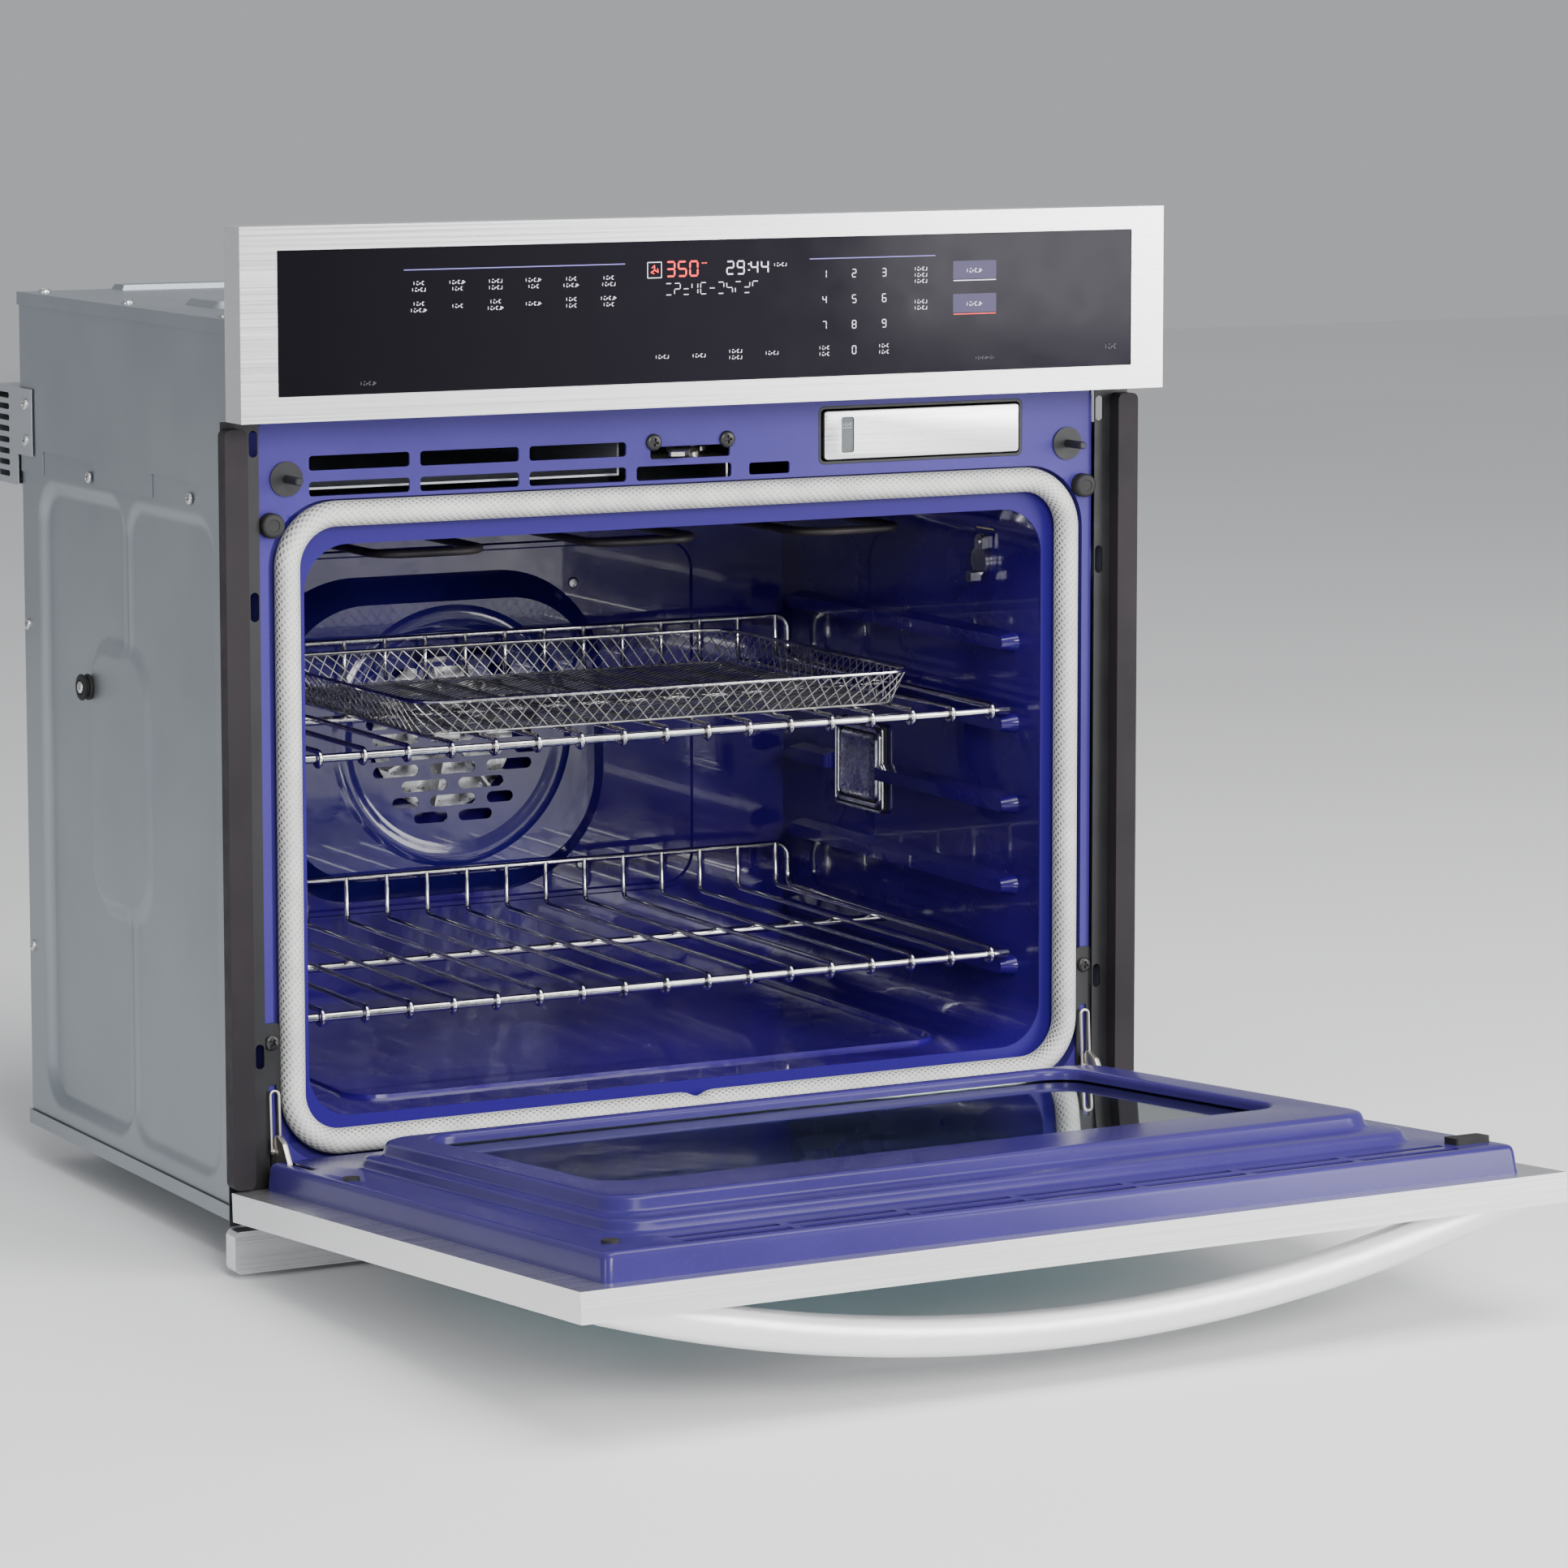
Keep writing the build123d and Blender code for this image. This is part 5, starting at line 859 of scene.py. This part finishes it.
def drawer_front():
    """Steel front of the water drawer with the grey level window and its mark."""
    body, slot = "steam_drawer", "tank_plastic"
    face, hole, level = Form(), Form(), Form()
    face.prism(rounded(DRAWER_X, DRAWER_Z, 83.9, 18.1, 2.5, 6), facing(2.4), 0, 1.6, 0.7)
    made = piece("drawer_face", face, body, slot, LOOK["panel_steel"])
    hole.prism(rounded(LEVEL_WINDOW_X, DRAWER_Z, 5.4, 13.4, 1.8, 6), facing(2.0), -1, 4)
    cut(made, hole)
    level.prism(rounded(LEVEL_WINDOW_X, DRAWER_Z, 5.2, 13.2, 1.6, 6), facing(2.2), 0, 0.5)
    grey = satin("window_grey", (0.10, 0.11, 0.12), (0.16, 0.17, 0.18), 0.25)
    piece("drawer_window", level, body, slot, grey)
    mark = Marks(1.65)
    mark.bars(LEVEL_WINDOW_X, 562.2, [1.1] * 4, 2.0)
    mark.stroke((127.4, 559.6), (135, 559.6), 0.35)
    pale = satin("mark_grey", (0.5, 0.5, 0.52), (0.6, 0.6, 0.62), 0.5)
    piece("drawer_mark", mark.form, body, slot, pale)


# --- door gasket -----------------------------------------------------------------
GASKET_HALF, GASKET_LOW, GASKET_HIGH, GASKET_CORNER = 322.8, 59.0, 514.0, 38.0
GASKET_Y, GASKET_RADIUS, GASKET_SIDES = 3, 9.3, 24
GASKET_STEP, GASKET_STITCH = 3.2, 5.6
GASKET_JOINT_X = 4  # where the ends of the braid meet and pinch it


def gasket_material():
    """White braid with painted shade: it darkens, and its dark stitches grow stronger, from the
    front of the tube towards both edges.
    """
    m = Paint("braid", Roughness=0.85, Sheen_Weight=0.2)
    uv = m.add("ShaderNodeTexCoord").outputs["UV"]
    split = m.add("ShaderNodeSeparateXYZ")
    m.put(split, 0, uv)
    along, round_it = split.outputs[0], split.outputs[1]
    rows = m.math("SINE", m.math("MULTIPLY", round_it, TURN * 13))
    lean = m.math("ADD", along, m.math("MULTIPLY", round_it, 3.0))
    dashes = m.math("SINE", m.math("MULTIPLY", lean, TURN))
    weave = m.math("MULTIPLY", rows, dashes)
    stitch = m.range(weave, 0.0, 0.7)
    # painted shade on the round tube: none at its front, growing towards both edges
    edge = m.range(m.math("ABSOLUTE", m.math("SUBTRACT", round_it, 0.5)), 0.04, 0.22)
    amount = m.math("MULTIPLY", stitch, m.math("ADD", m.math("MULTIPLY", edge, 0.6), 0.3))
    amount = m.math("ADD", amount, m.math("MULTIPLY", edge, 0.36))
    pale = m.mix(m.range(m.noise(40, 3), 0.3, 0.7), (0.56, 0.56, 0.54), (0.72, 0.72, 0.69))
    m.colour(m.mix(amount, pale, (0.06, 0.06, 0.06)))
    m.bump(weave, 0.0008, -0.9)
    return m.material


def gasket():
    """Braided tube round the cavity's mouth, pinched where its ends meet."""
    corners = [(GASKET_HALF, GASKET_LOW), (GASKET_HALF, GASKET_HIGH),
               (-GASKET_HALF, GASKET_HIGH), (-GASKET_HALF, GASKET_LOW)]
    path = bent_path([(x, GASKET_Y, z) for x, z in corners], GASKET_CORNER, 22, closed=True)
    points = []
    for a, b in zip(path, path[1:] + path[:1]):
        steps = max(1, int((b - a).length / GASKET_STEP))
        points += [a.lerp(b, k / steps) for k in range(steps)]
    form = Form()

    def width(n):
        at_joint = points[n].z < GASKET_LOW + 1
        pinch = abs(points[n].x - GASKET_JOINT_X) if at_joint else 99
        return GASKET_RADIUS * (1 - 0.42 * math.exp(-((pinch / 7) ** 2)))

    form.tube(points, width, GASKET_SIDES, closed=True, lead=(0, -1, 0))
    made = piece("gasket_braid", form, "chassis", "gasket_braid", gasket_material(),
                 replaces=["door_gasket"], angle=80)
    unroll(made.data, points)


def unroll(mesh, points):
    """Gives the gasket UVs: stitches along it, and the share of the way round it."""
    sides = GASKET_SIDES
    travelled = [0.0]
    for a, b in zip(points, points[1:] + points[:1]):
        travelled.append(travelled[-1] + (b - a).length)
    layer = mesh.uv_layers.new(name="braid")
    for polygon in mesh.polygons:
        rings = [v // sides for v in polygon.vertices]
        spots = [v % sides for v in polygon.vertices]
        wrap_ring = max(rings) - min(rings) > 1
        wrap_spot = max(spots) - min(spots) > 1
        for loop, ring, spot in zip(polygon.loop_indices, rings, spots):
            u = travelled[-1] if wrap_ring and ring == 0 else travelled[ring]
            v = sides if wrap_spot and spot == 0 else spot
            layer.data[loop].uv = (u / GASKET_STITCH, (v / sides + 0.5) % 1.0001)


# --- side panels -----------------------------------------------------------------
SIDE_FACE_X, SIDE_FIELD_DEPTH, SIDE_SHEET = 354.8, 6.0, 1.0
SIDE_YS = [1.2 + 444.6 * n / 190 for n in range(191)]
SIDE_ZS = [1.1 + 532.9 * n / 230 for n in range(231)]


def from_edge(y, z, cy, cz, half_y, half_z, radius):
    """Distance to a rounded rectangle's edge, below zero inside it."""
    dy, dz = abs(y - cy) - (half_y - radius), abs(z - cz) - (half_z - radius)
    return min(max(dy, dz), 0) + math.hypot(max(dy, 0), max(dz, 0)) - radius


def ease(distance, width):
    """A smooth step: 1 well inside an edge, 0 well outside."""
    t = min(1, max(0, 0.5 - distance / width))
    return t * t * (3 - 2 * t)


def press_depth(y, z):
    """How far in the press formed the side sheet: two fields, a boss and beads."""
    back = ease(from_edge(y, z, 322, 266, 92, 243, 34) + 4, 12)
    front = ease(from_edge(y, z, 146, 266, 86, 243, 30) + 4, 10) * 0.5
    boss = ease(from_edge(y, z, 255, 294, 62, 104, 38) + 4, 14)
    rib = ease(from_edge(y, z, 241, 274, 5, 228, 4), 8)
    field = max(back, front) * (1 - boss) * (1 - rib * 0.7)
    beads = sum(ease(from_edge(y, z, 34, middle, 4, 30, 4), 6) for middle in (486, 44))
    return SIDE_FIELD_DEPTH * field + 0.9 * beads


def side_panel(side):
    """A sheet as a fine grid pushed in where the press formed it."""
    form = Form()
    depths = [[press_depth(y, z) for y in SIDE_YS] for z in SIDE_ZS]

    def layer(thickness):
        return [form.ring([(side * (SIDE_FACE_X - depth - thickness), y, z)
                           for y, depth in zip(SIDE_YS, row)])
                for z, row in zip(SIDE_ZS, depths)]

    def skin(rows, flipped):
        for a, b in zip(rows, rows[1:]):
            for n in range(len(SIDE_YS) - 1):
                quad = (a[n], a[n + 1], b[n + 1], b[n])
                form.faces.append(tuple(reversed(quad)) if flipped else quad)

    made, inner = layer(0.0), layer(SIDE_SHEET)
    skin(made, side < 0)
    skin(inner, side > 0)
    for n in range(len(SIDE_YS) - 1):
        form.faces.append((made[0][n], inner[0][n], inner[0][n + 1], made[0][n + 1]))
        form.faces.append((made[-1][n], made[-1][n + 1], inner[-1][n + 1], inner[-1][n]))
    for n in range(len(SIDE_ZS) - 1):
        form.faces.append((made[n][0], made[n + 1][0], inner[n + 1][0], inner[n][0]))
        form.faces.append((made[n][-1], inner[n][-1], inner[n + 1][-1], made[n + 1][-1]))
    name = "side_sheet_left" if side < 0 else "side_sheet_right"
    return piece(name, form, "chassis", "galvanized", angle=60)


ROLLER_PROFILE = (
    (6, 0), (9.6, 0.2), (10, 0.8), (10, 2.2), (9.4, 2.9), (7.4, 3.2), (7.4, 5.0),
    (9.4, 5.3), (10, 6.0), (10, 7.3), (9.4, 7.9), (6.4, 8.0), (6.0, 7.2),
)
BUMPER_PROFILE = (
    (9, 0), (9, 6.4), (8.7, 7.6), (7.9, 8.5), (6.6, 9.0), (4.5, 8.9), (4.2, 8.4), (1, 8.3),
)


def side_sheets():
    """Both side sheets with their rollers, and the door's rubber bumpers."""
    left, _ = side_panel(-1), side_panel(1)
    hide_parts("side_panels")
    rubber, roller_screws = Form(), Form()
    for side in (-1, 1):
        rubber.lathe((side * 354.9, 309, 360), (side, 0, 0), ROLLER_PROFILE, 36)
        add_screw(roller_screws, (side * 362.1, 309, 360), (side, 0, 0), 4.6, 1.8, 0.4)
    for x in (-336, 336):
        rubber.lathe((x, 3, 508), (0, -1, 0), BUMPER_PROFILE, 36)
    piece("rubber_rollers", rubber, "chassis", "black_rubber", replaces=["rubber_bumpers"])
    piece("roller_screws", roller_screws, "chassis", "screw_steel")


# --- door inner panel --------------------------------------------------------------
HINGE_X = 339

# sections of the pressing: half width, near edge, far edge, corner radius, height; they run up
# the outside, over the three levels, down into the window and back under the sheet
PRESSING = (
    (352, 1, 548, 7, 0), (350.6, 2.4, 546.6, 7, 14.5), (349.9, 3.1, 545.9, 7, 17.2),
    (348.8, 4.2, 544.8, 7, 18.8), (346.6, 6.4, 542.6, 7, 19.5), (315.5, 53, 493, 34, 19.5),
    (312.6, 56, 490, 32, 20.0), (311.2, 57.6, 488.4, 30, 21.4), (310.2, 58.8, 487.2, 30, 25.0),
    (309.2, 60, 486, 30, 26.8), (307.0, 62.4, 483.6, 29, 27.7), (301.6, 65.6, 459.6, 29, 27.7),
    (299.4, 67.8, 457.4, 27, 28.3), (298.2, 69, 456, 26, 30.0), (297, 70.4, 454.6, 26, 35.6),
    (295.8, 71.6, 453.4, 26, 37.5), (293.2, 74.2, 450.8, 25, 38.4), (290, 77, 447, 25, 38.5),
    (272, 79.4, 388.6, 31, 38.5), (269, 82, 386, 29, 38.1), (267.4, 83.6, 384.4, 28, 36.8),
    (267, 84, 384, 28, 34.5), (267, 84, 384, 28, 30.9), (268.2, 82.8, 385.2, 29, 30.9),
    (268.4, 82.6, 385.4, 29, 36.2), (290, 78, 446, 25, 37.3), (296.4, 71.4, 453.4, 26, 34.6),
    (297.6, 69.8, 455, 26, 26.5), (308.4, 61, 485, 29, 26.5), (310.2, 59, 487, 30, 18.3),
    (346.4, 6.6, 542.4, 7, 18.3), (349.4, 3.6, 545.4, 7, 14), (350.8, 2.2, 546.8, 7, 0),
)


def slab(form, outline, heights):
    form.loft([[(x, along, h) for x, along in outline] for h in heights], capped=True)


def door_panel():
    """The enamelled pressing with soft steps, made as a skin with a thickness."""
    form = Form(on_door)
    rings = []
    for half, near, far, radius, height in PRESSING:
        shape = rounded(0, (near + far) / 2, half, (far - near) / 2, radius, 14)
        rings.append([(x, along, height) for x, along in shape])
    made = form.loft(rings)
    form.bridge(made[-1], made[0])
    panel = piece("door_pressing", form, "door", "door_enamel", replaces=["door_inner_panel"],
                  angle=50, outward=True)
    # overlapping cutters would spoil the cut, so the notches are cut after the slots
    slots, notches = Form(on_door), Form(on_door)
    for n in range(7):
        for along in (515, 533.5):
            slab(slots, rounded(10 + (n - 3) * 86.4, along, 40, 4.5, 2.2, 4), (22, 12))
    for cutter, near, far, low in ((slots, -3, 62, 13.5), (notches, -6, 6, -2)):
        for x in (-HINGE_X, HINGE_X):
            slab(cutter, rounded(x, (near + far) / 2, 3, (far - near) / 2, 0.5, 2), (22, low))
    for cutter in (slots, notches):
        cut(panel, cutter, 50)


# --- lamp ------------------------------------------------------------------------
LAMP_WALL_X, LAMP_Y, LAMP_Z = 302.6, 292, 259


def lamp():
    """Pillowed glass cover in a bright pressed frame, on the right wall."""
    lens, rim = Form(), Form()
    rings = []
    # the pillow's size and its height off the wall, from the edge to the middle
    for scale, height in (
        (1.0, 0.0), (0.99, 1.2), (0.93, 2.6), (0.8, 3.6), (0.55, 4.3), (0.25, 4.6),
    ):
        shape = rounded(LAMP_Y, LAMP_Z, 30.8 * scale, 26.8 * scale, 6 * scale + 0.5, 8)
        rings.append([(LAMP_WALL_X - height, y, z) for y, z in shape])
    lens.loft(rings, capped=True)
    piece("lamp_cover", lens, "chassis", "lamp_glass", replaces=["lamp_lens"], angle=60,
          outward=True)
    for half_y, half_z, radius, size in ((34.5, 30.5, 7, 2.0), (39, 35, 5, 1.2)):
        shape = rounded(LAMP_Y, LAMP_Z, half_y, half_z, radius, 8)
        rim.tube([(LAMP_WALL_X - 0.4, y, z) for y, z in shape], size, 10, closed=True)
    piece("lamp_rim", rim, "chassis", "black_steel", LOOK["sensor_steel"], angle=60)


# --- fan cover ring ----------------------------------------------------------------
FAN_X, FAN_Z, COVER_FACE_Y = -8, 289, 405.98
FAN_RING_PROFILE = (  # radius and height off the cover
    (106, -0.05), (104.5, 0.5), (102.5, 1.5), (100, 2.2), (97, 2.3), (94, 1.8), (91, 0.8),
    (88.5, 0.15), (87, -0.05),
)


def fan_ring():
    """Rolled ring pressed round the grille of the fan cover."""
    form = Form()
    made = form.loft([
        circle(Vector((FAN_X, COVER_FACE_Y - height, FAN_Z)), Vector((1, 0, 0)),
               Vector((0, 0, 1)), radius, 96)
        for radius, height in FAN_RING_PROFILE
    ])
    form.bridge(made[-1], made[0])
    piece("fan_ring", form, "chassis", "cover_enamel", angle=70, outward=True)


# --- hinge links -------------------------------------------------------------------
HINGE_PLATE = (  # the arm's outline in Y and Z
    (-34, 36), (-12, 24), (0, 24), (24, 24), (24, 40), (16, 44), (24, 48), (24, 62), (2, 62),
    (-8, 71), (-20, 66), (-30, 52),
)
LOCK_PIN_Y, LOCK_PIN_Z = -4, 58
LOCK_HALF = 3.4
LOCK_SIDE = ((-3.9, 57), (-2.2, 84), (-1.2, 101))  # one side of a loop, from its pin upwards


def hinge_links():
    """Rounded zinc plates of the hinge arms and the long loops of the locks."""
    arms, across = Form(), (1, 0, 0)
    path = [(p.x, p.y) for p in bent_path([(y, z, 0) for y, z in HINGE_PLATE], 4, 4, closed=True)]
    for x in (-HINGE_X, HINGE_X):
        arms.prism(path, lambda y, z, h, x=x: (x - 2 + h, y, z), 0, 4, 0.5)
        pin = ((1.4, 0), (2, 0.4), (2, 9.6), (1.4, 10))
        arms.lathe((x - 5, LOCK_PIN_Y, LOCK_PIN_Z), across, pin, 20)
        pivot = door_at(x, 17.1, -3.65)
        boss = ((7, 0), (8, 0.5), (8, 4.3), (7, 4.8))
        arms.lathe((x - 2.4, pivot[1], pivot[2]), across, boss, 32)
    piece("hinge_plates", arms, "chassis", "zinc", replaces=["hinge_arms"], outward=True)
    for x, lock in ((-HINGE_X, "left"), (HINGE_X, "right")):
        loop = Form()
        run = [(x - LOCK_HALF, y, z) for y, z in LOCK_SIDE]
        run += [(x + LOCK_HALF, y, z) for y, z in reversed(LOCK_SIDE)]
        loop.tube(bent_path(run, 3.2, 8), 1.25, 12)
        for end in (x - LOCK_HALF, x + LOCK_HALF):
            washer = ((2.2, 0), (2.8, 0.2), (2.8, 1.0), (2.2, 1.2))
            loop.lathe((end - 0.6, LOCK_PIN_Y, LOCK_PIN_Z), across, washer, 24)
        piece("hinge_loop_" + lock, loop, "hinge_lock_" + lock, "zinc",
              replaces=["hinge_lock_" + lock])


# --- floor, light, camera, all in metres -----------------------------------------------
def pale_floor():
    low, reach = CAD_BOX[0][2] - 0.004, 9
    mesh = bpy.data.meshes.new("floor")
    corners = ((-reach, -reach), (reach, -reach), (reach, reach), (-reach, reach))
    mesh.from_pydata([(x, y, low) for x, y in corners], [], [(0, 1, 2, 3)])
    floor = bpy.data.objects.new("floor", mesh)
    bpy.context.collection.objects.link(floor)
    paint = Paint("floor_paint", Roughness=0.9, Specular_IOR_Level=0.1)
    paint.colour(paint.mix(paint.range(paint.noise(0.6, 2), 0.3, 0.7), (0.86,) * 3, (0.9,) * 3))
    mesh.materials.append(paint.material)


def area_light(name, place, target, size, power):
    light = bpy.data.lights.new(name, "AREA")
    light.shape = "RECTANGLE"
    light.size, light.size_y = size
    light.energy = power
    made = bpy.data.objects.new(name, light)
    bpy.context.collection.objects.link(made)
    made.location = place
    made.rotation_euler = (Vector(target) - Vector(place)).to_track_quat("-Z", "Y").to_euler()


WORLD_COLOUR, WORLD_STRENGTH = (0.94, 0.96, 1, 1), 0.45


def studio():
    world = bpy.data.worlds.new("studio")
    bpy.context.scene.world = world
    world.use_nodes = True
    background = world.node_tree.nodes["Background"].inputs
    background[0].default_value, background[1].default_value = WORLD_COLOUR, WORLD_STRENGTH
    area_light("key", (3.2, -3.3, 1.5), (0, 0, 0.4), (2.4, 2.4), 190)
    area_light("front_left", (-0.9, -4.4, 1.9), (-0.2, 0, 0.3), (1.6, 1.2), 150)
    area_light("top", (0.2, -1.4, 3.0), (0, -0.2, 0.1), (3.0, 2.0), 110)
    area_light("left_strip", (-4.0, -1.6, 1.2), (-0.3, 0.3, 0.3), (0.8, 1.2), 26)


# the photograph's camera, from the fit to the panel's width
CAMERA_PLACE = (-1.904, -3.693, 0.894)
CAMERA_TURN = (90 - 6.55, 0.05, -28.21)  # degrees
CAMERA_LENS, CAMERA_SHIFT = 130.0, -0.1


def camera():
    lens = bpy.data.cameras.new("camera")
    lens.sensor_width = 36
    lens.lens = CAMERA_LENS
    lens.shift_y = CAMERA_SHIFT
    eye = bpy.data.objects.new("camera", lens)
    bpy.context.collection.objects.link(eye)
    eye.location = CAMERA_PLACE
    eye.rotation_euler = [math.radians(angle) for angle in CAMERA_TURN]
    bpy.context.scene.camera = eye


UPPER_LEVEL, LOWER_LEVEL = 332.0, 142.0

screws()
rack("upper_rack", UPPER_LEVEL)
rack("lower_rack", LOWER_LEVEL)
basket()
control_marks()
drawer_front()
gasket()
side_sheets()
door_panel()
lamp()
fan_ring()
hinge_links()
pale_floor()
studio()
camera()
